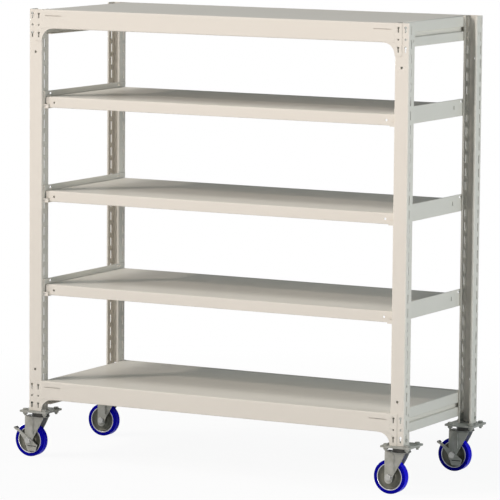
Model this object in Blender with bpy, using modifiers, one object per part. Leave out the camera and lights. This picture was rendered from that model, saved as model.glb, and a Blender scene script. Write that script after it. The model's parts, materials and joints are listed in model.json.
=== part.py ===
"""Mobile steel shelving: a bolted rack of five shelves on four swivel casters, two of them braked.

Lengths are in metres and +Z is up. The origin is on the floor, in the middle of the whole outline.
The rack empty has its own frame: X and Y from the middle of the rack, Z from the feet of the posts.
"""

import math

import bmesh
import bpy
from mathutils import Matrix, Vector

# Rack
RACK_WIDTH = 1.558
RACK_DEPTH = 0.616
POST_HEIGHT = 1.5
SHEET = 0.002
TOUCH_GAP = 0.0003
CUT_OVERRUN = 0.005
ARC_STEP = math.radians(46)
FLAT_ANGLE = math.radians(0.2)
HOLE_SIDES = 8
RACE_SIDES = 14

# Posts: channels whose webs face the front and the rear
POST_WIDTH = 0.055
POST_DEPTH = 0.049
POST_LIP = 0.008
POST_BEND = 0.0035
SLOT_PITCH = 0.05
SLOT_LENGTH = 0.033
SLOT_WIDTH = 0.006
SLOT_FROM_WEB = 0.018
SPARE_SLOT_HEIGHT = 0.1075
HOOK_SLOT_LENGTH = 0.011
HOOK_SLOT_WIDTH = 0.004
HOOK_SLOT_FROM_WEB = 0.036
WEB_HOLE_FROM_END = 0.157
WEB_HOLE_RADIUS = 0.004

# Fixing holes at the ends of the posts, repeated in the end plates of the beams
FIXING_FROM_EDGE = 0.0135
FIXING_FROM_END = 0.0575
KEYHOLE_SPACING = 0.07
KEYHOLE_LENGTH = 0.023
KEYHOLE_HEAD_RADIUS = 0.005
KEYHOLE_SLOT_WIDTH = 0.005
KEYHOLE_SIDES = 5
FIXING_HOLE_RADIUS = 0.004

# Front and rear beams
BEAM_HEIGHT = 0.07
BEAM_END_HEIGHT = 0.115
BEAM_BEND = 0.005
BEAM_TOP_RETURN = 0.014
BEAM_LEDGE_DEPTH = 0.028
BEAM_END_CLEARANCE = 0.0005
GUSSET_RADIUS = 0.044
WELD_STEP = 0.0002
END_PLATE_LAP = 0.006
GROOVE_FROM_EDGE = 0.069
GROOVE_LENGTH = 0.07
GROOVE_WIDTH = 0.0045
GROOVE_DROP = 0.023
GROOVE_DEPTH = 0.001
LOWER_DECK_HEIGHT = 0.115

# Shelves: trays with a turned edge all round and a hat section below
TRAY_LIP = 0.041
TRAY_RETURN = 0.016
TRAY_BEND = 0.005
TRAY_SHEET = 0.0016
SHELF_HEIGHT_SHARES = {"upper": 0.783, "middle": 0.55, "lower": 0.317}
SHELF_END_INSET = 0.006
SHELF_FRONT_INSET = 0.021
SHELF_HOLE_FROM_END = 0.034
SHELF_HOLE_RADIUS = 0.0035
SHELF_HOLE_DROP = 0.022
STIFFENER_WIDTH = 0.05
STIFFENER_HEIGHT = 0.022
STIFFENER_FOOT = 0.014
STIFFENER_END_GAP = 0.06

# Side rails under the middle shelves
RAIL_RISE = 0.02
RAIL_FLANGE = 0.018
RAIL_HEM = 0.011
RAIL_END_INSET = 0.01
RAIL_END_TAB = 0.015
RAIL_WINDOW_FROM_WEB = 0.057
RAIL_WINDOW_LENGTH = 0.016
RAIL_WINDOW_HEIGHT = 0.008
RAIL_WINDOW_DROP = 0.0095
RAIL_SLOT_FROM_WEB = 0.12
RAIL_SLOT_WIDTH = 0.006
RAIL_SLOT_HEIGHT = 0.016
RAIL_SLOT_DROP = 0.029
HOOK_REACH = 0.005
HOOK_NOSE = 0.006
RAIL_HOOK_HEIGHT = 0.02

# Side beams under the top and bottom shelves
SIDE_BEAM_HEIGHT = 0.035
SIDE_BEAM_FLANGE = 0.02
SIDE_BEAM_LEDGE_DEPTH = 0.012
SIDE_BEAM_DROP = 0.057
SIDE_BEAM_END_INSET = 0.031
SIDE_HOOK_HEIGHT = 0.0065
SIDE_HOOK_DROP = 0.0075

# Foot brackets
MOUNT_SIZE = 0.116
MOUNT_CORNER = 0.003
MOUNT_FROM_FRONT = 0.04
BRACKET_SHEET = 0.0032
BRACKET_LEG_HEIGHT = 0.034
BRACKET_LEG_SHEET = 0.0025
BRACKET_LEG_INSET = 0.004
FOOT_BOLT_RADIUS = 0.0025
FOOT_BOLT_HEAD_RADIUS = 0.006
FOOT_BOLT_HEAD_HEIGHT = 0.0035
FOOT_BOLT_HEIGHT = 0.02

# Caster plates
PLATE_SHEET = 0.0032
BOLT_SPACING = 0.084
BOLT_HEX_RADIUS = 0.009
BOLT_HEAD_HEIGHT = 0.0065
BOLT_NUT_HEIGHT = 0.0084
BOLT_END_RADIUS = 0.005
BOLT_END_LENGTH = 0.006
RACE_RADIUS = 0.0335
RACE_WALL = 0.005
RACE_CLEARANCE = 0.0008
CONE_DEPTH = 0.007
KINGPIN_RADIUS = 0.0075
KINGPIN_HEAD_RADIUS = 0.013
KINGPIN_HEAD_HEIGHT = 0.004
KINGPIN_CLEARANCE = 0.0006

# Forks
CROWN_DEPTH = 0.026
FORK_SHEET = 0.0032
FORK_BEND = 0.006
FORK_HALF_WIDTH = 0.022
FORK_FRONT = 0.023
FORK_SHOULDER_AHEAD = 0.012
FORK_SHOULDER_DROP = 0.054
FORK_NECK_DROP = 0.03
FORK_END_BELOW_AXLE = 0.024
FORK_END_AHEAD = 0.014
FORK_END_BEHIND = 0.0165
FORK_END_RADIUS = 0.015
AXLE_DROP = 0.1188
TRAIL = 0.04

# Wheels
TYRE_RADIUS = 0.0625
TYRE_WIDTH = 0.0325
TYRE_THICKNESS = 0.0125
TYRE_SHOULDER = 0.003
TYRE_SIDES = 28
HUB_SIDES = 14
HUB_RIM_WIDTH = 0.03
HUB_RIM_THICKNESS = 0.0045
HUB_WEB_THICKNESS = 0.007
HUB_BOSS_RADIUS = 0.018
HUB_BORE_CLEARANCE = 0.0004
AXLE_RADIUS = 0.006
AXLE_HOLE_CLEARANCE = 0.0003
AXLE_HEX_RADIUS = 0.0125
AXLE_HEX_HEIGHT = 0.008

# Brake levers
LEVER_SHEET = 0.0025
PEDAL_CLEARANCE = 0.011
PEDAL_LENGTH = 0.018
PEDAL_OVERHANG = 0.003
PEDAL_DEPTH = 0.01
PEDAL_THICKNESS = 0.0065
PEDAL_CORNER = 0.0015
PEDAL_TAB_DEPTH = 0.006
PEDAL_ANGLE = math.radians(145)
LEVER_CORNER = 0.003
# Places round the axle, as shares of the pedal's distance from it
LEVER_OUTLINE_SHARES = [
    (-0.87, 0.49),
    (-0.79, 0.65),
    (-0.62, 0.6),
    (0.08, 0.12),
    (0.5, -0.18),
    (0.47, -0.53),
    (-0.03, -0.54),
    (-0.22, -0.39),
    (-0.41, 0.03),
    (-0.56, 0.36),
]

# Paint and metal: colour, roughness, metallic
FINISHES = {
    "rack_paint": ((0.79, 0.77, 0.7, 1), 0.38, 0.0),
    "zinc_plate": ((0.52, 0.53, 0.5, 1), 0.34, 1.0),
    "pedal_rubber": ((0.05, 0.05, 0.05, 1), 0.6, 0.0),
    "wheel_steel": ((0.42, 0.42, 0.4, 1), 0.4, 0.8),
    "blue_tyre": ((0.01, 0.01, 0.5, 1), 0.25, 0.0),
}

# Places that follow from the sizes above
POST_CENTRE_X = (RACK_WIDTH - POST_WIDTH) / 2
BAY_HALF_WIDTH = RACK_WIDTH / 2 - POST_WIDTH
BRACKET_TOP = -TOUCH_GAP
BRACKET_BOTTOM = BRACKET_TOP - BRACKET_SHEET
PLATE_TOP = BRACKET_BOTTOM - TOUCH_GAP
PLATE_BOTTOM = PLATE_TOP - PLATE_SHEET
CROWN_TOP = -CROWN_DEPTH
CROWN_BOTTOM = CROWN_TOP - FORK_SHEET
TYRE_FLAT_RADIUS = TYRE_RADIUS * math.cos(math.pi / TYRE_SIDES)
FOOT_HEIGHT = AXLE_DROP + TYRE_FLAT_RADIUS
PEDAL_REACH = TYRE_RADIUS + PEDAL_CLEARANCE
CASTER_Y = RACK_DEPTH / 2 - MOUNT_FROM_FRONT
WEB_FACE = RACK_DEPTH / 2

OBJECT_NAME = "mobile_shelving"


def clear_scene():
    for old in list(bpy.data.objects):
        bpy.data.objects.remove(old)


def new_collection(name, hidden=False):
    made = bpy.data.collections.new(name)
    made.hide_render = hidden
    bpy.context.scene.collection.children.link(made)
    return made


def new_material(name):
    colour, roughness, metallic = FINISHES[name]
    material = bpy.data.materials.new(name)
    material.use_nodes = True
    shader = material.node_tree.nodes["Principled BSDF"]
    shader.inputs["Base Color"].default_value = colour
    shader.inputs["Roughness"].default_value = roughness
    shader.inputs["Metallic"].default_value = metallic
    material.diffuse_color = colour
    return material


def rounded(points, radii, closed=True):
    """A path with its corners turned into arcs. radii is one value, or one for each point."""
    count = len(points)
    if not isinstance(radii, list):
        radii = [radii] * count
    path = []
    for index, point in enumerate(points):
        corner = Vector(point)
        if radii[index] == 0 or (not closed and index in (0, count - 1)):
            path.append(corner)
            continue
        back = (Vector(points[index - 1]) - corner).normalized()
        ahead = (Vector(points[(index + 1) % count]) - corner).normalized()
        half = back.angle(ahead) / 2
        centre = corner + (back + ahead).normalized() * radii[index] / math.sin(half)
        arm = corner + back * radii[index] / math.tan(half) - centre
        sweep = math.copysign(math.pi - 2 * half, -back.cross(ahead))
        steps = max(1, math.ceil(abs(sweep) / ARC_STEP))
        for step in range(steps + 1):
            path.append(centre + Matrix.Rotation(sweep * step / steps, 2) @ arm)
    return path


def bent_strip(points, bends, sheet):
    """The outline of a sheet bent along a path through its middle. bends are radii of the path's corners."""
    path = rounded(points, bends, closed=False)
    normals = []
    legs = [(after - before).normalized() for before, after in zip(path, path[1:])]
    for before, after in zip([legs[0], *legs], [*legs, legs[-1]]):
        here = (before + after).normalized()
        stretch = 1 / math.cos(before.angle(after) / 2)
        normals.append(Vector((-here.y, here.x)) * stretch * sheet / 2)
    left = [point + normal for point, normal in zip(path, normals)]
    right = [point - normal for point, normal in zip(path, normals)]
    return left + right[::-1]


def rectangle(low_x, low_y, high_x, high_y):
    return [(low_x, low_y), (high_x, low_y), (high_x, high_y), (low_x, high_y)]


def ring(centre_x, centre_y, radius, sides=6):
    turns = [2 * math.pi * (side + 0.5) / sides for side in range(sides)]
    return [(centre_x + radius * math.cos(turn), centre_y + radius * math.sin(turn)) for turn in turns]


def clear_radius(radius, sides):
    """The corner radius of a hole with flat sides that a round of this radius still passes through."""
    return radius / math.cos(math.pi / sides)


def keyhole(centre_x, centre_y):
    """A keyhole with its round head up, centred on its height."""
    head_y = centre_y + KEYHOLE_LENGTH / 2 - KEYHOLE_HEAD_RADIUS
    half_slot = KEYHOLE_SLOT_WIDTH / 2
    notch = math.asin(half_slot / KEYHOLE_HEAD_RADIUS)
    sweep = 2 * (math.pi - notch)
    outline = []
    for step in range(KEYHOLE_SIDES + 1):
        turn = notch - math.pi / 2 + sweep * step / KEYHOLE_SIDES
        outline.append(
            (
                centre_x + KEYHOLE_HEAD_RADIUS * math.cos(turn),
                head_y + KEYHOLE_HEAD_RADIUS * math.sin(turn),
            )
        )
    bottom = centre_y - KEYHOLE_LENGTH / 2
    outline.append((centre_x - half_slot, bottom))
    outline.append((centre_x + half_slot, bottom))
    return outline


def fixing_holes(centre_x, centre_y):
    """Two keyholes with a round hole between them."""
    return [
        keyhole(centre_x, centre_y + KEYHOLE_SPACING / 2),
        ring(centre_x, centre_y, FIXING_HOLE_RADIUS),
        keyhole(centre_x, centre_y - KEYHOLE_SPACING / 2),
    ]


def tool_object(name, mesh):
    """A pattern or a cutter: it helps to make the parts and isn't one of them."""
    tool = bpy.data.objects.new(name, mesh)
    tool.hide_render = True
    tool.display_type = "WIRE"
    tools.objects.link(tool)
    return tool


def evaluated_mesh(tool):
    bpy.context.view_layer.update()
    return bpy.data.meshes.new_from_object(tool.evaluated_get(bpy.context.evaluated_depsgraph_get()))


def axis_basis(axis):
    """Turns a drawing in X and Y so that its third direction runs along the axis."""
    if axis == "X":
        return Matrix(((0, 0, 1), (1, 0, 0), (0, 1, 0))).to_4x4()
    if axis == "Y":
        return Matrix.Rotation(math.pi / 2, 4, "X")
    return Matrix.Identity(4)


def slab(name, outlines, start, end, axis):
    """A flat solid across the axis, from start to end along it. Outlines after the first are its holes."""
    drawing = bpy.data.curves.new(name, "CURVE")
    drawing.dimensions = "2D"
    drawing.fill_mode = "BOTH"
    drawing.extrude = (end - start) / 2
    for outline in outlines:
        spline = drawing.splines.new("POLY")
        spline.points.add(len(outline) - 1)
        for place, (x, y) in zip(spline.points, outline):
            place.co = (x, y, 0, 1)
        spline.use_cyclic_u = True
    guide = tool_object(name + "_drawing", drawing)
    mesh = evaluated_mesh(guide)
    bpy.data.objects.remove(guide)
    middle = (start + end) / 2
    if axis == "Y":
        middle = -middle
    mesh.transform(axis_basis(axis) @ Matrix.Translation((0, 0, middle)))
    weld(mesh)
    return tool_object(name, mesh)


def weld(mesh):
    shape = bmesh.new()
    shape.from_mesh(mesh)
    bmesh.ops.remove_doubles(shape, verts=shape.verts, dist=TOUCH_GAP / 100)
    bmesh.ops.recalc_face_normals(shape, faces=shape.faces)
    shape.to_mesh(mesh)
    shape.free()


def block(name, low, high):
    """A box from one corner to the opposite one."""
    return blocks(name, [(low, high)])


def blocks(name, corners):
    """Separate boxes in one tool, each from one corner to the opposite one."""
    shape = bmesh.new()
    for low, high in corners:
        size = Vector(high) - Vector(low)
        middle = (Vector(high) + Vector(low)) / 2
        bmesh.ops.create_cube(shape, size=1, matrix=Matrix.LocRotScale(middle, None, size))
    mesh = bpy.data.meshes.new(name)
    shape.to_mesh(mesh)
    shape.free()
    return tool_object(name, mesh)


def rod(name, radius, start, end, axis, sides, centre=(0, 0)):
    """A round or hexagonal bar along the axis. centre is its place in the drawing across the axis."""
    shape = bmesh.new()
    if axis == "Y":
        start, end = -end, -start
    place = Matrix.Translation((*centre, (start + end) / 2))
    turn = Matrix.Rotation(math.pi / sides, 4, "Z")
    bmesh.ops.create_cone(
        shape,
        cap_ends=True,
        segments=sides,
        radius1=radius,
        radius2=radius,
        depth=end - start,
        matrix=axis_basis(axis) @ place @ turn,
    )
    mesh = bpy.data.meshes.new(name)
    shape.to_mesh(mesh)
    shape.free()
    return tool_object(name, mesh)


def turned(name, profile, axis, sides):
    """A closed profile of (radius, height) points, turned round the axis."""
    mesh = bpy.data.meshes.new(name)
    count = len(profile)
    edges = [(index, (index + 1) % count) for index in range(count)]
    mesh.from_pydata([(radius, 0, height) for radius, height in profile], edges, [])
    tool = tool_object(name, mesh)
    screw = tool.modifiers.new("turn", "SCREW")
    screw.steps = sides
    screw.render_steps = sides
    screw.use_merge_vertices = True
    screw.merge_threshold = TOUCH_GAP / 10
    baked = evaluated_mesh(tool)
    bpy.data.objects.remove(tool)
    baked.transform(axis_basis(axis) @ Matrix.Rotation(math.pi / sides, 4, "Z"))
    weld(baked)
    return tool_object(name, baked)


def combine(tool, others, operation):
    for other in others:
        change = tool.modifiers.new(other.name, "BOOLEAN")
        change.operation = operation
        change.object = other
        change.solver = "EXACT"
    return tool


def cut(tool, *others):
    return combine(tool, others, "DIFFERENCE")


def join(tool, *others):
    return combine(tool, others, "UNION")


def keep_common(tool, *others):
    return combine(tool, others, "INTERSECT")


def drop_spare_points(mesh):
    """Removes the points that joins and cuts leave on straight edges and flat faces."""
    shape = bmesh.new()
    shape.from_mesh(mesh)
    bmesh.ops.dissolve_limit(shape, angle_limit=FLAT_ANGLE, verts=shape.verts, edges=shape.edges)
    shape.to_mesh(mesh)
    shape.free()


def finished(tool, material, smooth=False):
    """The tool's shape as a mesh of its own, ready to be shared by the parts."""
    mesh = evaluated_mesh(tool)
    drop_spare_points(mesh)
    mesh.materials.clear()
    mesh.materials.append(materials[material])
    if smooth:
        mesh.shade_smooth()
        mesh.set_sharp_from_angle(angle=ARC_STEP)
    else:
        mesh.shade_flat()
    return mesh


def part(name, mesh, parent, location=(0, 0, 0), turn=0.0):
    made = bpy.data.objects.new(name, mesh)
    made.parent = parent
    made.location = location
    made.rotation_euler = (0, 0, turn)
    parts.objects.link(made)
    return made


def empty(name, parent, location):
    made = bpy.data.objects.new(name, None)
    made.parent = parent
    made.location = location
    parts.objects.link(made)
    return made


def slot_heights():
    count = math.floor(POST_HEIGHT / SLOT_PITCH)
    return [SLOT_PITCH * (index + 0.5) for index in range(count)]


def shelf_height(share):
    """A middle shelf's height, with its rails hooked into the slots nearest to this share of the posts."""
    wanted = share * POST_HEIGHT
    return min(slot_heights(), key=lambda height: abs(height - wanted)) + SHEET


def post_shape(outer):
    """A lipped channel with its web at Y = 0. outer is -1 where its column of fixing holes is at -X."""
    edge = (POST_WIDTH - SHEET) / 2
    near = SHEET / 2
    far = POST_DEPTH - SHEET / 2
    lip_end = POST_WIDTH / 2 - POST_LIP
    path = [(-lip_end, far), (-edge, far), (-edge, near), (edge, near), (edge, far), (lip_end, far)]
    post = slab("post_shape", [bent_strip(path, POST_BEND, SHEET)], 0, POST_HEIGHT, "Z")
    across = POST_WIDTH / 2 + CUT_OVERRUN
    slots = []
    for height in slot_heights():
        slots.append((SLOT_FROM_WEB, height, SLOT_WIDTH, SLOT_LENGTH))
    hook_heights = [side_beam_top(level) - SIDE_HOOK_DROP for level in (LOWER_DECK_HEIGHT, POST_HEIGHT)]
    for height in [*hook_heights, SPARE_SLOT_HEIGHT]:
        slots.append((HOOK_SLOT_FROM_WEB, height, HOOK_SLOT_WIDTH, HOOK_SLOT_LENGTH))
    corners = []
    for y, height, width, length in slots:
        low = (-across, y - width / 2, height - length / 2)
        corners.append((low, (across, y + width / 2, height + length / 2)))
    holes = []
    column = outer * (POST_WIDTH / 2 - FIXING_FROM_EDGE)
    for height in (FIXING_FROM_END, POST_HEIGHT - FIXING_FROM_END):
        holes += fixing_holes(column, height)
    for height in (WEB_HOLE_FROM_END, POST_HEIGHT - WEB_HOLE_FROM_END):
        holes.append(ring(0, height, WEB_HOLE_RADIUS))
    web_holes = slab("post_web_holes", holes, -CUT_OVERRUN, SHEET + CUT_OVERRUN, "Y")
    return finished(cut(post, blocks("post_slots", corners), web_holes), "rack_paint")


def beam_shape():
    """A channel with an open inner ledge and an end plate at each end. Its top is at Z = 0."""
    face = -TOUCH_GAP - SHEET / 2
    under = SHEET / 2 - BEAM_HEIGHT
    ledge_top = -TRAY_LIP - TOUCH_GAP
    path = [
        (BEAM_TOP_RETURN, -SHEET / 2),
        (face, -SHEET / 2),
        (face, under),
        (BEAM_LEDGE_DEPTH, under),
        (BEAM_LEDGE_DEPTH, ledge_top),
    ]
    reach = BAY_HALF_WIDTH - BEAM_END_CLEARANCE
    beam = slab("beam_shape", [bent_strip(path, [0, BEAM_BEND, 0, 0, 0], SHEET)], -reach, reach, "X")
    for side in (-1, 1):
        join(beam, end_plate(side))
    for side in (-1, 1):
        outer = side * (RACK_WIDTH / 2 - GROOVE_FROM_EDGE)
        inner = outer - side * GROOVE_LENGTH
        front = -TOUCH_GAP - SHEET
        low = (min(outer, inner), front - CUT_OVERRUN, -GROOVE_DROP - GROOVE_WIDTH / 2)
        high = (max(outer, inner), front + GROOVE_DEPTH, -GROOVE_DROP + GROOVE_WIDTH / 2)
        cut(beam, block("beam_groove", low, high))
    return finished(beam, "rack_paint")


def end_plate(side):
    """The plate that laps half of a post's web, with a concave gusset down from the beam."""
    outer = side * POST_CENTRE_X
    inner = side * BAY_HALF_WIDTH
    lap = side * (BAY_HALF_WIDTH - END_PLATE_LAP)
    foot = side * (BAY_HALF_WIDTH - GUSSET_RADIUS - END_PLATE_LAP)
    lowered = -BEAM_BEND - END_PLATE_LAP
    under = -BEAM_HEIGHT - WELD_STEP
    points = [
        (outer, 0),
        (outer, -BEAM_END_HEIGHT),
        (inner, -BEAM_END_HEIGHT),
        (inner, under),
        (foot, under),
        (foot, lowered),
        (lap, lowered),
        (lap, 0),
    ]
    radii = [0, 0, 0, GUSSET_RADIUS, 0, 0, 0, 0]
    centre_x = side * (RACK_WIDTH / 2 - POST_WIDTH + FIXING_FROM_EDGE)
    outlines = [rounded(points, radii), *fixing_holes(centre_x, -FIXING_FROM_END)]
    back = -TOUCH_GAP - WELD_STEP
    return slab("end_plate", outlines, back - SHEET + 2 * WELD_STEP, back, "Y")


def tray_shape(name, half_width, half_depth, holes):
    """A tray with its top at Z = 0: a box open below, with a turned edge, made from one sheet."""
    shape = bmesh.new()
    size = (2 * half_width, 2 * half_depth, TRAY_LIP)
    middle = (0, 0, -TRAY_LIP / 2)
    bmesh.ops.create_cube(shape, size=1, matrix=Matrix.LocRotScale(Vector(middle), None, Vector(size)))
    rims = [edge for edge in shape.edges if any(vert.co.z > middle[2] for vert in edge.verts)]
    bmesh.ops.bevel(shape, geom=rims, offset=TRAY_BEND, segments=1, profile=0.5, affect="EDGES")
    under = min(shape.faces, key=lambda face: face.calc_center_median().z)
    bmesh.ops.inset_region(shape, faces=[under], thickness=TRAY_RETURN, use_even_offset=True)
    bmesh.ops.delete(shape, geom=[under], context="FACES")
    mesh = bpy.data.meshes.new(name)
    shape.to_mesh(mesh)
    shape.free()
    tray = tool_object(name, mesh)
    wall = tray.modifiers.new("sheet", "SOLIDIFY")
    wall.thickness = TRAY_SHEET
    wall.offset = -1
    wall.use_even_offset = True
    join(tray, stiffener(half_width - STIFFENER_END_GAP))
    if holes:
        half_reach = half_depth + CUT_OVERRUN
        for x in (SHELF_HOLE_FROM_END - half_width, half_width - SHELF_HOLE_FROM_END):
            centre = (x, -SHELF_HOLE_DROP)
            cut(tray, rod("tray_hole", SHELF_HOLE_RADIUS, -half_reach, half_reach, "Y", 6, centre))
    return finished(tray, "rack_paint")


def stiffener(reach):
    """A hat section welded to the underside, along the middle."""
    level = -TRAY_SHEET
    crest = level - STIFFENER_HEIGHT
    wide = STIFFENER_WIDTH / 2
    foot = wide + STIFFENER_FOOT
    path = [(-foot, level), (-wide, level), (-wide, crest), (wide, crest), (wide, level), (foot, level)]
    return slab("stiffener", [bent_strip(path, 0, TRAY_SHEET)], -reach, reach, "X")


def side_beam_top(level):
    return level - SIDE_BEAM_DROP


def hook(name, web, y, thickness, bottom, height):
    """A hook that goes through a slot in the post's flange at X < 0 and drops behind it."""
    behind = -SHEET - TOUCH_GAP
    end = -SHEET - HOOK_REACH
    points = [
        (web, bottom),
        (behind, bottom),
        (behind, bottom - HOOK_NOSE),
        (end, bottom - HOOK_NOSE),
        (end, bottom + height),
        (web, bottom + height),
    ]
    return slab(name, [points], y - thickness / 2, y + thickness / 2, "Y")


def rail_shape():
    """A left side rail. X = 0 is the inner flange's face, and Z = 0 the top of its shelf."""
    top = RAIL_RISE
    under = -TRAY_LIP - TOUCH_GAP - SHEET
    back = TOUCH_GAP
    front = TOUCH_GAP + SHEET
    points = [
        (back, under),
        (back + RAIL_FLANGE, under),
        (back + RAIL_FLANGE, under + SHEET),
        (front, under + SHEET),
        (front, top - RAIL_HEM),
        (front + SHEET, top - RAIL_HEM),
        (front + SHEET, top),
        (back, top),
    ]
    reach = WEB_FACE - RAIL_END_INSET
    rail = slab("rail_shape", [points], -reach, reach, "Y")
    slot_bottom = -SHEET - SLOT_LENGTH / 2
    deepest = front + SHEET + CUT_OVERRUN
    for side in (-1, 1):
        end = side * reach
        inward = end - side * SHEET
        low = (back + WELD_STEP, min(end, inward) + WELD_STEP, under + WELD_STEP)
        high = (back + RAIL_FLANGE - WELD_STEP, max(end, inward) - WELD_STEP, under + RAIL_END_TAB)
        join(rail, block("rail_tab", low, high))
        y = side * (WEB_FACE - SLOT_FROM_WEB)
        middle = back + SHEET / 2
        join(rail, hook("rail_hook", middle, y, SHEET, slot_bottom + TOUCH_GAP, RAIL_HOOK_HEIGHT))
        window = side * (WEB_FACE - RAIL_WINDOW_FROM_WEB)
        half = RAIL_WINDOW_LENGTH / 2
        level = top - RAIL_WINDOW_DROP
        low = (-CUT_OVERRUN, window - half, level - RAIL_WINDOW_HEIGHT / 2)
        high = (deepest, window + half, level + RAIL_WINDOW_HEIGHT / 2)
        cut(rail, block("rail_window", low, high))
        centre = side * (WEB_FACE - RAIL_SLOT_FROM_WEB)
        half = RAIL_SLOT_WIDTH / 2
        level = top - RAIL_SLOT_DROP
        low = (-CUT_OVERRUN, centre - half, level - RAIL_SLOT_HEIGHT / 2)
        high = (deepest, centre + half, level + RAIL_SLOT_HEIGHT / 2)
        cut(rail, block("rail_slot", low, high))
    return finished(rail, "rack_paint")


def side_beam_shape():
    """A left side beam with an inner ledge up to its shelf. X = 0 is the inner flange's face."""
    web = TOUCH_GAP + SHEET / 2
    tip = TOUCH_GAP + SIDE_BEAM_FLANGE
    ledge = TOUCH_GAP + SIDE_BEAM_LEDGE_DEPTH
    path = [
        (ledge, SIDE_BEAM_DROP - TRAY_LIP - TOUCH_GAP),
        (ledge, -SHEET / 2),
        (web, -SHEET / 2),
        (web, SHEET / 2 - SIDE_BEAM_HEIGHT),
        (tip, SHEET / 2 - SIDE_BEAM_HEIGHT),
    ]
    reach = WEB_FACE - SIDE_BEAM_END_INSET
    beam = slab("side_beam_shape", [bent_strip(path, 0, SHEET)], -reach, reach, "Y")
    bottom = -SIDE_HOOK_DROP - HOOK_SLOT_LENGTH / 2 + TOUCH_GAP
    for side in (-1, 1):
        y = side * (WEB_FACE - HOOK_SLOT_FROM_WEB)
        join(beam, hook("side_beam_hook", web, y, SHEET, bottom, SIDE_HOOK_HEIGHT))
    return finished(beam, "rack_paint")


def mount_outline():
    half = MOUNT_SIZE / 2
    return rounded(rectangle(-half, -half, half, half), MOUNT_CORNER)


def bolt_places():
    half = BOLT_SPACING / 2
    return [(x, y) for x in (-half, half) for y in (-half, half)]


def bracket_shape(outer):
    """A foot bracket about the swivel axis. outer is -1 where the post's outer flange is at -X."""
    bracket = slab("bracket_shape", [mount_outline()], BRACKET_BOTTOM, BRACKET_TOP, "Z")
    low_y = -MOUNT_FROM_FRONT + SHEET + BRACKET_LEG_INSET
    high_y = -MOUNT_FROM_FRONT + POST_DEPTH - SHEET - BRACKET_LEG_INSET
    base = (BRACKET_BOTTOM + BRACKET_TOP) / 2
    flange = POST_WIDTH / 2 - SHEET
    for place in bolt_places():
        join(bracket, rod("bolt_head", BOLT_HEX_RADIUS, base, BRACKET_TOP + BOLT_HEAD_HEIGHT, "Z", 6, place))
    for side in (-1, 1):
        face = side * (flange - TOUCH_GAP)
        back = face - side * BRACKET_LEG_SHEET
        low = (min(face, back), low_y, base)
        high = (max(face, back), high_y, BRACKET_LEG_HEIGHT)
        join(bracket, block("bracket_leg", low, high))
    centre = (SLOT_FROM_WEB - MOUNT_FROM_FRONT, FOOT_BOLT_HEIGHT)
    inside = flange - TOUCH_GAP - BRACKET_LEG_SHEET / 2
    head_start = POST_WIDTH / 2 + TOUCH_GAP
    head_end = head_start + FOOT_BOLT_HEAD_HEIGHT
    spans = [
        (FOOT_BOLT_RADIUS, inside, head_start + FOOT_BOLT_HEAD_HEIGHT / 2, 6),
        (FOOT_BOLT_HEAD_RADIUS, head_start, head_end, 6),
    ]
    for radius, start, end, sides in spans:
        start, end = sorted((outer * start, outer * end))
        join(bracket, rod("foot_bolt", radius, start, end, "X", sides, centre))
    return finished(bracket, "zinc_plate")


def plate_shape():
    """The caster's top plate with its nuts and bolt ends, the bearing cone and the kingpin."""
    plate = slab("plate_shape", [mount_outline()], PLATE_BOTTOM, PLATE_TOP, "Z")
    middle = (PLATE_BOTTOM + PLATE_TOP) / 2
    nut_end = PLATE_BOTTOM - BOLT_NUT_HEIGHT
    for place in bolt_places():
        join(plate, rod("bolt_nut", BOLT_HEX_RADIUS, nut_end, middle, "Z", 6, place))
        join(plate, rod("bolt_end", BOLT_END_RADIUS, nut_end - BOLT_END_LENGTH, middle, "Z", 6, place))
    cone_radius = RACE_RADIUS - RACE_WALL - RACE_CLEARANCE
    cone_end = PLATE_BOTTOM - CONE_DEPTH
    head_top = CROWN_BOTTOM - TOUCH_GAP
    profile = [
        (0, middle),
        (cone_radius, middle),
        (cone_radius, cone_end),
        (KINGPIN_RADIUS, cone_end),
        (KINGPIN_RADIUS, head_top),
        (KINGPIN_HEAD_RADIUS, head_top),
        (KINGPIN_HEAD_RADIUS, head_top - KINGPIN_HEAD_HEIGHT),
        (0, head_top - KINGPIN_HEAD_HEIGHT),
    ]
    join(plate, turned("kingpin", profile, "Z", 10))
    return finished(plate, "zinc_plate")


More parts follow.
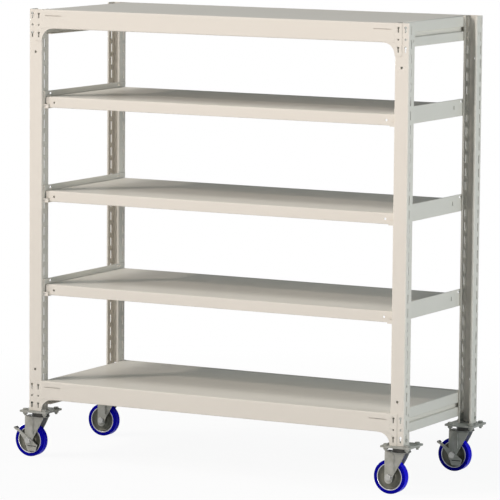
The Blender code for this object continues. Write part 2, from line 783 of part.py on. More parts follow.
def fork_shape():
    """A sheet bent into a U over the wheel and trimmed to its side outline, with the swivel at X = Y = 0."""
    side = FORK_HALF_WIDTH - FORK_SHEET / 2
    level = CROWN_TOP - FORK_SHEET / 2
    lowest = -AXLE_DROP - FORK_END_BELOW_AXLE
    path = [(-side, lowest - CUT_OVERRUN), (-side, level), (side, level), (side, lowest - CUT_OVERRUN)]
    behind = -TRAIL - FORK_END_BEHIND
    u_sheet = [bent_strip(path, FORK_BEND, FORK_SHEET)]
    fork = slab("fork_shape", u_sheet, behind - CUT_OVERRUN, FORK_FRONT + CUT_OVERRUN, "X")
    ahead = FORK_END_AHEAD - TRAIL
    above = CROWN_TOP + CUT_OVERRUN
    points = [
        (behind, lowest),
        (ahead, lowest),
        (ahead, -AXLE_DROP),
        (FORK_SHOULDER_AHEAD, -FORK_SHOULDER_DROP),
        (FORK_FRONT, -FORK_NECK_DROP),
        (FORK_FRONT, above),
        (behind, above),
    ]
    radii = [FORK_END_RADIUS, FORK_END_RADIUS, 0, 0, 0, 0, 0]
    wide = FORK_HALF_WIDTH + CUT_OVERRUN
    keep_common(fork, slab("fork_outline", [rounded(points, radii)], -wide, wide, "Y"))
    race_top = PLATE_BOTTOM - RACE_CLEARANCE
    inner = clear_radius(RACE_RADIUS - RACE_WALL, RACE_SIDES)
    profile = [(inner, race_top), (RACE_RADIUS, race_top), (RACE_RADIUS, level), (inner, level)]
    join(fork, turned("fork_race", profile, "Z", RACE_SIDES))
    pin_hole = clear_radius(KINGPIN_RADIUS + KINGPIN_CLEARANCE, HOLE_SIDES)
    over = CROWN_TOP + CUT_OVERRUN
    cut(fork, rod("fork_pin_hole", pin_hole, CROWN_BOTTOM - CUT_OVERRUN, over, "Z", HOLE_SIDES))
    axle_hole = clear_radius(AXLE_RADIUS + AXLE_HOLE_CLEARANCE, HOLE_SIDES)
    place = (-TRAIL, -AXLE_DROP)
    cut(fork, rod("fork_axle_hole", axle_hole, -wide, wide, "Y", HOLE_SIDES, place))
    return finished(fork, "zinc_plate")


def axle_shape(name, lever):
    """The axle bolt along Y, with its head at -Y and its nut at +Y. lever is what it also clamps at -Y."""
    grip = FORK_HALF_WIDTH + TOUCH_GAP
    head = -grip - lever
    axle = rod(name, AXLE_RADIUS, head - AXLE_HEX_HEIGHT / 2, grip + AXLE_HEX_HEIGHT / 2, "Y", 10)
    join(axle, rod("axle_head", AXLE_HEX_RADIUS, head - AXLE_HEX_HEIGHT, head, "Y", 6))
    join(axle, rod("axle_nut", AXLE_HEX_RADIUS, grip, grip + AXLE_HEX_HEIGHT, "Y", 6))
    return finished(axle, "zinc_plate")


def hub_shape():
    """The wheel's steel centre: a boss, a dished web and a rim."""
    bore = clear_radius(AXLE_RADIUS + HUB_BORE_CLEARANCE, HUB_SIDES)
    boss = FORK_HALF_WIDTH - FORK_SHEET - TOUCH_GAP
    rim = TYRE_RADIUS - TYRE_THICKNESS - TOUCH_GAP
    well = rim - HUB_RIM_THICKNESS
    half_rim = HUB_RIM_WIDTH / 2
    half_web = HUB_WEB_THICKNESS / 2
    upper = [(bore, boss), (HUB_BOSS_RADIUS, boss), (well, half_web), (rim, half_rim)]
    lower = [(radius, -height) for radius, height in upper[::-1]]
    return finished(turned("hub_shape", upper + lower, "Y", HUB_SIDES), "wheel_steel", smooth=True)


def tyre_shape():
    """A solid tyre with a flat facet of its rim straight down."""
    half = TYRE_WIDTH / 2
    bore = clear_radius(TYRE_RADIUS - TYRE_THICKNESS, TYRE_SIDES)
    crown = TYRE_RADIUS
    shoulder = TYRE_RADIUS - TYRE_SHOULDER
    upper = [(bore, half), (shoulder, half), (crown, half - TYRE_SHOULDER)]
    lower = [(radius, -height) for radius, height in upper[::-1]]
    return finished(turned("tyre_shape", upper + lower, "Y", TYRE_SIDES), "blue_tyre", smooth=True)


def pedal_basis():
    """Turns the pedal's own frame, with X away from the axle, to the pedal's place round the axle."""
    turn = Matrix.Rotation(-PEDAL_ANGLE, 4, "Y")
    return turn @ Matrix.Translation((PEDAL_REACH, 0, 0))


def lever_face():
    """The side of the fork that the lever lies against."""
    return -FORK_HALF_WIDTH - TOUCH_GAP


def lever_shape():
    """The brake lever about the axle: a side plate whose tab crosses over the tyre."""
    outline = [(x * PEDAL_REACH, z * PEDAL_REACH) for x, z in LEVER_OUTLINE_SHARES]
    hole = ring(0, 0, clear_radius(AXLE_RADIUS + AXLE_HOLE_CLEARANCE, HOLE_SIDES), HOLE_SIDES)
    inner = lever_face()
    outer = inner - LEVER_SHEET
    lever = slab("lever_shape", [rounded(outline, LEVER_CORNER), hole], outer, inner, "Y")
    half_depth = PEDAL_TAB_DEPTH / 2
    low = (-half_depth, outer + WELD_STEP, -LEVER_SHEET / 2)
    high = (half_depth, inner + PEDAL_LENGTH, LEVER_SHEET / 2)
    tab = block("lever_tab", low, high)
    tab.data.transform(pedal_basis())
    return finished(join(lever, tab), "zinc_plate")


def pedal_shape():
    """The brake's foot pad, a sleeve over the lever's tab."""
    inner = lever_face() + TOUCH_GAP
    outer = lever_face() + PEDAL_LENGTH + PEDAL_OVERHANG
    half_depth = PEDAL_DEPTH / 2
    half_rise = PEDAL_THICKNESS / 2
    pad = block("pedal_shape", (-half_depth, inner, -half_rise), (half_depth, outer, half_rise))
    edges = pad.modifiers.new("edges", "BEVEL")
    edges.width = PEDAL_CORNER
    edges.segments = 1
    pocket_depth = PEDAL_TAB_DEPTH / 2 + TOUCH_GAP
    pocket_rise = LEVER_SHEET / 2 + TOUCH_GAP
    low = (-pocket_depth, inner - CUT_OVERRUN, -pocket_rise)
    high = (pocket_depth, lever_face() + PEDAL_LENGTH + TOUCH_GAP, pocket_rise)
    mesh = finished(cut(pad, block("pedal_pocket", low, high)), "pedal_rubber")
    mesh.transform(pedal_basis())
    return mesh


def outline_centre_x():
    """Where the middle of the whole outline lies from the middle of the rack."""
    centre = POST_CENTRE_X
    pedal_corner = Vector((PEDAL_DEPTH / 2, 0, PEDAL_THICKNESS / 2 - PEDAL_CORNER))
    pedal_tip = pedal_basis() @ pedal_corner
    left = min(-centre - TRAIL + pedal_tip.x, -centre - TRAIL - TYRE_FLAT_RADIUS, -centre - MOUNT_SIZE / 2)
    right = max(centre + MOUNT_SIZE / 2, centre - TRAIL + TYRE_FLAT_RADIUS)
    return (left + right) / 2


def build_frame(rack):
    """Posts, beams and side beams."""
    posts = {outer: post_shape(outer) for outer in (-1, 1)}
    beam = beam_shape()
    side_beam = side_beam_shape()
    ends = {"front": (-1, 0.0), "rear": (1, math.pi)}
    sides = {"left": (-1, 0.0), "right": (1, math.pi)}
    for end, (y_sign, turn) in ends.items():
        for side, (x_sign, _) in sides.items():
            place = (x_sign * POST_CENTRE_X, y_sign * WEB_FACE, 0)
            part(f"post_{end}_{side}", posts[-x_sign * y_sign], rack, place, turn)
    for level, height in {"top": POST_HEIGHT, "bottom": LOWER_DECK_HEIGHT}.items():
        for end, (y_sign, turn) in ends.items():
            part(f"beam_{level}_{end}", beam, rack, (0, y_sign * WEB_FACE, height), turn)
        for side, (x_sign, turn) in sides.items():
            place = (x_sign * BAY_HALF_WIDTH, 0, side_beam_top(height))
            part(f"side_beam_{level}_{side}", side_beam, rack, place, turn)


def build_shelves(rack):
    """The top and bottom shelves between the beams, and three more on side rails."""
    end_depth = WEB_FACE - BEAM_TOP_RETURN - TOUCH_GAP
    end_tray = tray_shape("end_tray_shape", BAY_HALF_WIDTH - TOUCH_GAP, end_depth, holes=False)
    part("shelf_top", end_tray, rack, (0, 0, POST_HEIGHT))
    part("shelf_bottom", end_tray, rack, (0, 0, LOWER_DECK_HEIGHT))
    half_width = BAY_HALF_WIDTH - SHELF_END_INSET
    shelf = tray_shape("shelf_shape", half_width, WEB_FACE - SHELF_FRONT_INSET, holes=True)
    rail = rail_shape()
    for name, share in SHELF_HEIGHT_SHARES.items():
        height = shelf_height(share)
        part(f"shelf_{name}", shelf, rack, (0, 0, height))
        part(f"side_rail_{name}_left", rail, rack, (-BAY_HALF_WIDTH, 0, height))
        part(f"side_rail_{name}_right", rail, rack, (BAY_HALF_WIDTH, 0, height), math.pi)


def build_casters(rack):
    """Four swivel casters with their foot brackets. All trail towards -X."""
    plate = plate_shape()
    fork = fork_shape()
    hub = hub_shape()
    tyre = tyre_shape()
    lever = lever_shape()
    pedal = pedal_shape()
    lever_grip = LEVER_SHEET + TOUCH_GAP
    axles = {False: axle_shape("axle_shape", 0), True: axle_shape("braked_axle_shape", lever_grip)}
    brackets = {outer: bracket_shape(outer) for outer in (-1, 1)}
    corners = [
        ("front_left", -1, -1, True),
        ("front_right", 1, -1, False),
        ("rear_left", -1, 1, False),
        ("rear_right", 1, 1, True),
    ]
    for corner, x_sign, y_sign, braked in corners:
        place = (x_sign * POST_CENTRE_X, y_sign * CASTER_Y, 0)
        turn = math.pi if y_sign > 0 else 0.0
        part(f"foot_bracket_{corner}", brackets[-x_sign * y_sign], rack, place, turn)
        part(f"caster_plate_{corner}", plate, rack, place)
        swivel = empty(f"swivel_{corner}", rack, place)
        part(f"fork_{corner}", fork, swivel)
        spindle = empty(f"spindle_{corner}", swivel, (-TRAIL, 0, -AXLE_DROP))
        part(f"axle_{corner}", axles[braked], spindle)
        part(f"hub_{corner}", hub, spindle)
        part(f"tyre_{corner}", tyre, spindle)
        if braked:
            part(f"brake_lever_{corner}", lever, spindle)
            part(f"brake_pedal_{corner}", pedal, spindle)


clear_scene()
parts = new_collection(OBJECT_NAME)
tools = new_collection("cutters", hidden=True)
materials = {name: new_material(name) for name in FINISHES}
rack_frame = empty("rack", None, (-outline_centre_x(), 0, FOOT_HEIGHT))
build_frame(rack_frame)
build_shelves(rack_frame)
build_casters(rack_frame)
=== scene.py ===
"""The looks of a mobile steel shelving unit: ivory rack, zinc-plated casters and blue tyres.

Lengths are in metres. Each shape is drawn about an origin of its own, such as a swivel, an axle or
the middle of a deck, and is placed by the boxes of the frame's pieces.
"""

import json
import math

import bmesh
import bpy
from mathutils import Matrix, Vector

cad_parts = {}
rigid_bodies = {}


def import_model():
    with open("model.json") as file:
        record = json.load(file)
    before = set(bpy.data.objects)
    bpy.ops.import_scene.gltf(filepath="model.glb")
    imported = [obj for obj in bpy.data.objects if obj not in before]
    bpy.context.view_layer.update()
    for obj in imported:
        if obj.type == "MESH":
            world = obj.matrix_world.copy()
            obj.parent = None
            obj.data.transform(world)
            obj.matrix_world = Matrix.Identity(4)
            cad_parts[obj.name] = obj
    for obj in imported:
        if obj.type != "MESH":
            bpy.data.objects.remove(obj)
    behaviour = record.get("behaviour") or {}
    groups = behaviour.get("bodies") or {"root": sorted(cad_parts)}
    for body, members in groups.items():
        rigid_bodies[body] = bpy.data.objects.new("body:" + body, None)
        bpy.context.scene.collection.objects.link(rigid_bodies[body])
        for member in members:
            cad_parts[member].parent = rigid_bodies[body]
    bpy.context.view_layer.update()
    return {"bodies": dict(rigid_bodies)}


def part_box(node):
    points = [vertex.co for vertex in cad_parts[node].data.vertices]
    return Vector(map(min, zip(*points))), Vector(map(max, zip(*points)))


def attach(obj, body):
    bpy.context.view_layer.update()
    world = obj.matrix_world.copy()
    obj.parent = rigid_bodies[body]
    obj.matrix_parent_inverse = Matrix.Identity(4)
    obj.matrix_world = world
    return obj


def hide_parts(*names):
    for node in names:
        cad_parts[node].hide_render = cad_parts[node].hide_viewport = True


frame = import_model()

# Sockets of a Mix node that mixes colours
MIX_MASK = 0
MIX_FIRST = 6
MIX_SECOND = 7
MIX_RESULT = 2

# How finely shapes are drawn, and the small gaps and overlaps between them
ARC_STEP = math.radians(15)
SMOOTH_ANGLE = math.radians(35)
ROUND_SIDES = 48
WHEEL_SIDES = 112
HOLE_SIDES = 16
HEX_SIDES = 6
HEX_CHAMFER = 0.12
EDGE = 0.0004
EDGE_SEGMENTS = 2
PEG_BEVEL_SHARE = 0.25
OVERRUN = 0.005
MERGE = 0.000003
NOT_QUITE = MERGE * 2
WELD_STEP = 0.0002
TOUCH_GAP = 0.0003
SHEET = 0.002

# Posts
POST_WIDTH = 0.055
POST_DEPTH = 0.049
POST_LIP = 0.008
POST_BEND = 0.0035
SLOT_PITCH = 0.05
SLOT_LENGTH = 0.033
SLOT_WIDTH = 0.006
SLOT_FROM_WEB = 0.018
SPARE_SLOT_HEIGHT = 0.1075
HOOK_SLOT_LENGTH = 0.011
HOOK_SLOT_WIDTH = 0.004
HOOK_SLOT_FROM_WEB = 0.036
WEB_HOLE_FROM_END = 0.157
WEB_HOLE_RADIUS = 0.005
FIXING_FROM_EDGE = 0.0135
FIXING_FROM_END = 0.0575
KEYHOLE_SPACING = 0.07
KEYHOLE_LENGTH = 0.023
KEYHOLE_HEAD_RADIUS = 0.005
KEYHOLE_SLOT_WIDTH = 0.005
FIXING_HOLE_RADIUS = 0.004
HIDDEN_HOLE_DROP = 0.003
HIDDEN_HOLE_DEPTH = 0.001

# Beams
BEAM_HEIGHT = 0.07
BEAM_END_HEIGHT = 0.115
BEAM_BEND = 0.005
BEAM_INNER_BEND = 0.003
BEAM_TOP_RETURN = 0.014
BEAM_LEDGE_DEPTH = 0.028
BEAM_END_CLEARANCE = 0.0005
GUSSET_RADIUS = 0.044
END_PLATE_LAP = 0.006
GROOVE_FROM_EDGE = 0.069
GROOVE_LENGTH = 0.07
GROOVE_WIDTH = 0.0045
GROOVE_DROP = 0.023
GROOVE_DEPTH = 0.001
GROOVE_SLIT = 0.0016

# Shelves
TRAY_LIP = 0.041
TRAY_RETURN = 0.016
TRAY_BEND = 0.005
TRAY_INNER_BEND = 0.002
TRAY_SHEET = 0.0016
SHELF_END_INSET = 0.006
SHELF_FRONT_INSET = 0.021
SHELF_HOLE_FROM_END = 0.034
SHELF_HOLE_RADIUS = 0.0045
SHELF_HOLE_DROP = 0.022
STIFFENER_WIDTH = 0.05
STIFFENER_HEIGHT = 0.022
STIFFENER_FOOT = 0.014
STIFFENER_BEND = 0.003
STIFFENER_END_GAP = 0.06

# Side rails
RAIL_RISE = 0.02
RAIL_FLANGE = 0.0215
RAIL_HEM = 0.011
RAIL_HEM_GAP = 0.0002
RAIL_BEND = 0.003
RAIL_END_INSET = 0.01
RAIL_END_TAB = 0.015
RAIL_WINDOW_FROM_WEB = 0.057
RAIL_WINDOW_LENGTH = 0.016
RAIL_WINDOW_HEIGHT = 0.008
RAIL_WINDOW_CORNER = 0.0015
RAIL_WINDOW_DROP = 0.0095
RAIL_SLOT_FROM_WEB = 0.12
RAIL_SLOT_WIDTH = 0.006
RAIL_SLOT_HEIGHT = 0.016
RAIL_SLOT_DROP = 0.029
HOOK_REACH = 0.005
HOOK_NOSE = 0.006
RAIL_HOOK_HEIGHT = 0.02

# Side beams
SIDE_BEAM_HEIGHT = 0.035
SIDE_BEAM_FLANGE = 0.02
SIDE_BEAM_LEDGE_DEPTH = 0.012
SIDE_BEAM_BEND = 0.003
SIDE_BEAM_DROP = 0.057
SIDE_BEAM_END_INSET = 0.031
SIDE_HOOK_HEIGHT = 0.0065
SIDE_HOOK_DROP = 0.0075

# Foot brackets and caster plates
MOUNT_SIZE = 0.116
MOUNT_CORNER = 0.003
MOUNT_FROM_FRONT = 0.04
MOUNT_SHEET = 0.0032
BRACKET_LEG_HEIGHT = 0.034
BRACKET_LEG_SHEET = 0.0025
BRACKET_LEG_INSET = 0.004
BRACKET_LEG_BEND = 0.003
FOOT_BOLT_HEIGHT = 0.02
FOOT_BOLT_RADIUS = 0.0025
FOOT_BOLT_HEAD_RADIUS = 0.006
FOOT_BOLT_HEAD_HEIGHT = 0.0035
BOLT_SPACING = 0.084
BOLT_HEX_RADIUS = 0.009
BOLT_HEAD_HEIGHT = 0.0065
BOLT_NUT_HEIGHT = 0.0084
BOLT_END_RADIUS = 0.005
BOLT_END_LENGTH = 0.006
WASHER_RADIUS = 0.0095
WASHER_HEIGHT = 0.0014
THREAD_PITCH = 0.0012
THREAD_DEPTH = 0.0004
RACE_RADIUS = 0.0335
RACE_WALL = 0.005
RACE_CLEARANCE = 0.0008
RACE_BEAD = 0.0012
CONE_DEPTH = 0.007
CONE_EDGE = 0.0008
KINGPIN_RADIUS = 0.0075
KINGPIN_HEAD_RADIUS = 0.013
KINGPIN_HEAD_HEIGHT = 0.004
KINGPIN_HEAD_CHAMFER = 0.0016
KINGPIN_CLEARANCE = 0.0006

# Forks
CROWN_DEPTH = 0.026
FORK_SHEET = 0.0032
FORK_BEND = 0.006
FORK_HALF_WIDTH = 0.022
FORK_FRONT = 0.023
FORK_SHOULDER_AHEAD = 0.012
FORK_SHOULDER_DROP = 0.054
FORK_SHOULDER_ROUNDING = 0.05
FORK_NECK_DROP = 0.03
FORK_END_BELOW_AXLE = 0.024
FORK_END_AHEAD = 0.014
FORK_END_BEHIND = 0.0165
FORK_END_RADIUS = 0.015
FORK_EDGE = 0.0011
CREASE_WIDTH = 0.003
CREASE_DEPTH = 0.0008
CREASE_TOP = 0.033
CREASE_FOOT = 0.094
CREASE_AHEAD = 0.021
TRAIL = 0.04

# Wheels
TYRE_RADIUS = 0.0621
TYRE_WIDTH = 0.0325
TYRE_THICKNESS = 0.0125
TYRE_SHOULDER = 0.0035
TYRE_LIP = 0.0012
TREAD_HALF = 0.0135
HUB_RIM_WIDTH = 0.03
HUB_RIM_RING = 0.003
HUB_RIM_STEP = 0.0012
HUB_DISH_RADIUS = 0.041
HUB_DISH_HALF = 0.0055
HUB_FOOT_RADIUS = 0.024
HUB_BOSS_RADIUS = 0.018
HUB_BOSS_FOOT = 0.0016
HUB_SEAL_RADIUS = 0.014
HUB_SEAL_DEPTH = 0.001
HUB_BORE_CLEARANCE = 0.0004
AXLE_RADIUS = 0.006
AXLE_HOLE_CLEARANCE = 0.0003
AXLE_HEX_RADIUS = 0.0125
AXLE_HEX_HEIGHT = 0.008

# Brake levers
LEVER_SHEET = 0.0025
LEVER_CORNER = 0.0017
LEVER_STEP_DROP = 0.0185
LEVER_STEP_RISE = 0.0035
LEVER_STEP_DEPTH = 0.0012
LEVER_STEP_BEHIND = 0.003
LEVER_STEP_AHEAD = 0.034
PEDAL_CLEARANCE = 0.011
PEDAL_LENGTH = 0.018
PEDAL_OVERHANG = 0.003
PEDAL_DEPTH = 0.01
PEDAL_THICKNESS = 0.0065
PEDAL_CORNER = 0.0015
PEDAL_TAB_DEPTH = 0.006
PEDAL_ANGLE = math.radians(145)
PEDAL_GROOVES = 4
PEDAL_GROOVE_DEPTH = 0.0007
LEVER_OUTLINE_SHARES = [
    (-0.865, 0.565),
    (-0.83, 0.62),
    (-0.62, 0.58),
    (0.08, 0.12),
    (0.53, -0.22),
    (0.42, -0.53),
    (-0.02, -0.54),
    (-0.1, -0.4),
    (-0.14, -0.2),
    (-0.28, 0.05),
    (-0.56, 0.4),
]

# The camera, from the middle of the rack at the feet of its posts
IMAGE_PIXELS = 500
FOCAL_PIXELS = 3708.5
SENSOR_MM = 36
CAMERA_PLACE = (6.4254, -11.9976, 2.2487)
CAMERA_YAW = math.radians(28.213)
CAMERA_PITCH = math.radians(6.82)
CAMERA_ROLL = math.radians(0.479)

# The studio
FLOOR_SIZE = 90
FLOOR_COLOUR = (0.88, 0.88, 0.88, 1)
FLOOR_WHITENESS = 0.93
SHADOW_REACH = 1.0
WHITE_FROM = 3.0
WHITE = (1, 1, 1, 1)
AMBIENT = 0.165
AMBIENT_COLOUR = (0.66, 0.86, 1, 1)
WARM = (1.0, 0.98, 0.94)
SUNNY = (1.0, 0.88, 0.81)
COOL = (0.94, 1.0, 1.0)
SUN_SPREAD = math.radians(4)
SUNS = {
    "front_sun": ((0, -20, 0.8), 1.35, SUNNY),
    "shelf_sun": ((-12, -12, 12), 0.7, SUNNY),
}
LAMPS = {
    "top_lamp": ((-5.0, -5.0, 11.5), (5.0, 5.0), 630, WARM),
    "side_lamp": ((5.0, -0.25, 1.5), (1.0, 1.0), 72, COOL),
    "rear_lamp": ((-12.0, 12.0, 1.2), (3.0, 1.6), 800, COOL),
}
LAMP_AIM = (0, 0, 0.8)

# The sign of each end and side, and the turn of a front or left piece that is used there
ENDS = {"front": (-1, 0.0), "rear": (1, math.pi)}
SIDES = {"left": (-1, 0.0), "right": (1, math.pi)}

# Places taken from the frame
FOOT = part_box("post_front_left")[0]
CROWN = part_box("post_rear_right")[1]
RACK = Vector(((FOOT.x + CROWN.x) / 2, 0, FOOT.z))
RACK_WIDTH = CROWN.x - FOOT.x
POST_HEIGHT = CROWN.z - FOOT.z
WEB_FACE = -FOOT.y
POST_CENTRE_X = (RACK_WIDTH - POST_WIDTH) / 2
BAY_HALF_WIDTH = RACK_WIDTH / 2 - POST_WIDTH
LOWER_DECK_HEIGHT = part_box("shelf_bottom")[1].z - FOOT.z
TYRE_MIDDLE = sum(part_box("tyre_front_left"), Vector()) / 2
AXLE_DROP = FOOT.z - TYRE_MIDDLE.z

# Places about a swivel or an axle
BRACKET_TOP = -TOUCH_GAP
BRACKET_BOTTOM = BRACKET_TOP - MOUNT_SHEET
PLATE_TOP = BRACKET_BOTTOM - TOUCH_GAP
PLATE_BOTTOM = PLATE_TOP - MOUNT_SHEET
CROWN_TOP = -CROWN_DEPTH
CROWN_BOTTOM = CROWN_TOP - FORK_SHEET
CREASE_X = CREASE_AHEAD - TRAIL
PEDAL_REACH = TYRE_RADIUS + PEDAL_CLEARANCE
LEVER_FACE = -FORK_HALF_WIDTH - TOUCH_GAP


class Socket:
    """A node's output that can be used in Python's own maths."""

    def __init__(self, finish, output):
        self.finish = finish
        self.output = output

    def __add__(self, other):
        return self.finish.maths("ADD", self, other)

    def __radd__(self, other):
        return self.finish.maths("ADD", other, self)

    def __sub__(self, other):
        return self.finish.maths("SUBTRACT", self, other)

    def __rsub__(self, other):
        return self.finish.maths("SUBTRACT", other, self)

    def __mul__(self, other):
        return self.finish.maths("MULTIPLY", self, other)

    def __rmul__(self, other):
        return self.finish.maths("MULTIPLY", other, self)

    def __abs__(self):
        return self.finish.maths("ABSOLUTE", self, 0)


class Finish:
    """The node tree of a material or of the world."""

    def __init__(self, holder):
        holder.use_nodes = True
        self.holder = holder
        self.nodes = holder.node_tree.nodes
        self.links = holder.node_tree.links

    def feed(self, socket, value):
        """Links another node's output to a socket, or sets a plain value on it."""
        if isinstance(value, Socket):
            self.links.new(value.output, socket)
        else:
            socket.default_value = value

    def node(self, kind, settings=None, sockets=None, output=0):
        """A node of this kind. Its settings come first, then the values or links of its sockets."""
        made = self.nodes.new(kind)
        for name, value in (settings or {}).items():
            if name == "stops":
                set_stops(made.color_ramp, value)
            else:
                setattr(made, name, value)
        for name, value in (sockets or {}).items():
            self.feed(made.inputs[name], value)
        return Socket(self, made.outputs[output])

    def maths(self, operation, first, second):
        return self.node("ShaderNodeMath", {"operation": operation}, {0: first, 1: second})

    def blend(self, mask, first, second):
        """One colour turning into another where the mask goes from 0 to 1."""
        sockets = {MIX_MASK: mask, MIX_FIRST: first, MIX_SECOND: second}
        return self.node("ShaderNodeMix", {"data_type": "RGBA"}, sockets, MIX_RESULT)

    def place(self):
        return self.node("ShaderNodeTexCoord", output="Object")

    def noise(self, scale, detail, roughness=0.5, stretch=(1, 1, 1)):
        """Soft noise over the piece, from 0 to 1. scale is in blotches per metre."""
        place = self.node("ShaderNodeMapping", None, {"Vector": self.place(), "Scale": stretch})
        sockets = {"Vector": place, "Scale": scale, "Detail": detail, "Roughness": roughness}
        return self.node("ShaderNodeTexNoise", None, sockets)

    def banded(self, value, stops):
        """The value run through a ramp of (place, grey) stops."""
        colours = [(place, (grey, grey, grey, 1)) for place, grey in stops]
        return self.node("ShaderNodeValToRGB", {"stops": colours}, {"Fac": value})

    def bump(self, height, distance):
        return self.node("ShaderNodeBump", None, {"Height": height, "Distance": distance})

    def shade(self, **values):
        """Feeds the surface shader. A socket's name is written with _ for each space."""
        shader = self.nodes["Principled BSDF"]
        for name, value in values.items():
            self.feed(shader.inputs[name.replace("_", " ")], value)
        return self.holder


def set_stops(ramp, stops):
    """Sets a ramp's (place, colour) stops."""
    while len(ramp.elements) < len(stops):
        ramp.elements.new(1)
    for element, (place, colour) in zip(ramp.elements, stops):
        element.position = place
        element.color = colour


def new_finish(name):
    return Finish(bpy.data.materials.new(name))


def ivory_paint():
    """Smooth ivory powder coat with a faint orange peel."""
    finish = new_finish("ivory_paint")
    drift = finish.noise(scale=2.2, detail=3)
    peel = finish.noise(scale=520, detail=2)
    fine = finish.noise(scale=38, detail=5)
    colour = finish.blend(drift, (0.775, 0.738, 0.672, 1), (0.8, 0.763, 0.697, 1))
    return finish.shade(
        Base_Color=colour,
        Roughness=0.3 + 0.08 * fine,
        Specular_IOR_Level=0.0,
        Coat_Weight=0.08,
        Coat_Roughness=0.2,
        Normal=finish.bump(peel, distance=0.00006),
    )


def zinc_plating():
    """Dull zinc plate with pale and olive clouds and fine rolling marks."""
    finish = new_finish("zinc_plating")
    cloud = finish.noise(scale=46, detail=4, roughness=0.6)
    grain = finish.noise(scale=420, detail=3, stretch=(1, 1, 0.12))
    pits = finish.noise(scale=900, detail=2)
    tone = finish.banded(cloud, [(0.32, 0), (0.68, 1)])
    colour = finish.blend(tone, (0.34, 0.345, 0.305, 1), (0.45, 0.45, 0.425, 1))
    return finish.shade(
        Base_Color=colour,
        Metallic=0.1,
        Roughness=0.38 + 0.16 * grain,
        Specular_IOR_Level=0.05,
        Normal=finish.bump(pits + grain, distance=0.00005),
    )


def bolt_steel():
    """The brighter zinc of bolts and nuts."""
    finish = new_finish("bolt_steel")
    cloud = finish.noise(scale=160, detail=3)
    colour = finish.blend(cloud, (0.33, 0.335, 0.32, 1), (0.47, 0.47, 0.45, 1))
    return finish.shade(
        Base_Color=colour,
        Metallic=0.6,
        Roughness=0.3 + 0.14 * cloud,
        Normal=finish.bump(finish.noise(scale=1100, detail=2), distance=0.00004),
    )


def cast_hub():
    """The wheel's pressed centre, dull olive grey; also painted shade in the posts' blind holes."""
    finish = new_finish("cast_hub")
    cloud = finish.noise(scale=70, detail=4, roughness=0.6)
    speckle = finish.noise(scale=700, detail=2)
    colour = finish.blend(cloud, (0.085, 0.088, 0.07, 1), (0.15, 0.15, 0.125, 1))
    return finish.shade(
        Base_Color=colour,
        Metallic=0.3,
        Roughness=0.4 + 0.16 * speckle,
        Specular_IOR_Level=0.3,
        Normal=finish.bump(speckle, distance=0.00008),
    )


def rim_painted_highlight():
    """The hub's turned ring where the tyre starts, light and bluish: a painted highlight."""
    finish = new_finish("rim_painted_highlight")
    turning = finish.noise(scale=1500, detail=2)
    return finish.shade(
        Base_Color=finish.blend(turning, (0.58, 0.58, 0.64, 1), (0.68, 0.68, 0.76, 1)),
        Metallic=0.3,
        Roughness=0.2 + 0.14 * turning,
        Normal=finish.bump(turning, distance=0.00003),
    )


def blue_tyre():
    """Glossy blue polyurethane, with painted shade on its flanks and painted light on its tread."""
    finish = new_finish("blue_tyre")
    cloud = finish.noise(scale=24, detail=3)
    scuff = finish.banded(finish.noise(scale=210, detail=5, roughness=0.7), [(0.5, 0), (0.75, 1)])
    # Painted shade on the flanks and painted light on the tread, chosen by the distance across the
    # tyre.
    painted_shade_flank = finish.blend(cloud, (0.001, 0.001, 0.26, 1), (0.003, 0.003, 0.36, 1))
    painted_light_tread = finish.blend(cloud, (0.004, 0.003, 0.7, 1), (0.01, 0.006, 0.86, 1))
    across = finish.node("ShaderNodeSeparateXYZ", None, {"Vector": finish.place()}, "Y")
    off_tread = (abs(across) - TREAD_HALF) * (1 / TYRE_LIP)
    return finish.shade(
        Base_Color=finish.blend(off_tread, painted_light_tread, painted_shade_flank),
        Roughness=0.24 + 0.2 * scuff,
        Specular_IOR_Level=0.02,
        Normal=finish.bump(scuff, distance=0.00006),
    )


def painted_shade_steel():
    """Near-black steel, used as painted shade under the caster plate and in creases and steps."""
    finish = new_finish("painted_shade_steel")
    shade_mottle = finish.noise(scale=180, detail=4)
    return finish.shade(
        Base_Color=finish.blend(shade_mottle, (0.035, 0.035, 0.033, 1), (0.08, 0.08, 0.075, 1)),
        Metallic=0.2,
        Roughness=0.4 + 0.2 * shade_mottle,
        Specular_IOR_Level=0.2,
        Normal=finish.bump(shade_mottle, distance=0.00004),
    )


def pedal_rubber():
    """Matt black rubber, a little dusty."""
    finish = new_finish("pedal_rubber")
    dust = finish.noise(scale=130, detail=4)
    return finish.shade(
        Base_Color=finish.blend(dust, (0.015, 0.015, 0.015, 1), (0.04, 0.04, 0.037, 1)),
        Roughness=0.5 + 0.2 * dust,
        Normal=finish.bump(finish.noise(scale=1300, detail=2), distance=0.00008),
    )


def rounded(points, radii, closed=True):
    """A path with its corners turned into arcs. radii is one value, or one for each point."""
    count = len(points)
    if not isinstance(radii, list):
        radii = [radii] * count
    path = []
    for index, point in enumerate(points):
        corner = Vector(point)
        if radii[index] == 0 or (not closed and index in (0, count - 1)):
            path.append(corner)
            continue
        back = (Vector(points[index - 1]) - corner).normalized()
        ahead = (Vector(points[(index + 1) % count]) - corner).normalized()
        half = back.angle(ahead) / 2
        centre = corner + (back + ahead).normalized() * radii[index] / math.sin(half)
        arm = corner + back * radii[index] / math.tan(half) - centre
        sweep = math.copysign(math.pi - 2 * half, -back.cross(ahead))
        steps = max(1, math.ceil(abs(sweep) / ARC_STEP))
        for step in range(steps + 1):
            path.append(centre + Matrix.Rotation(sweep * step / steps, 2) @ arm)
    return path


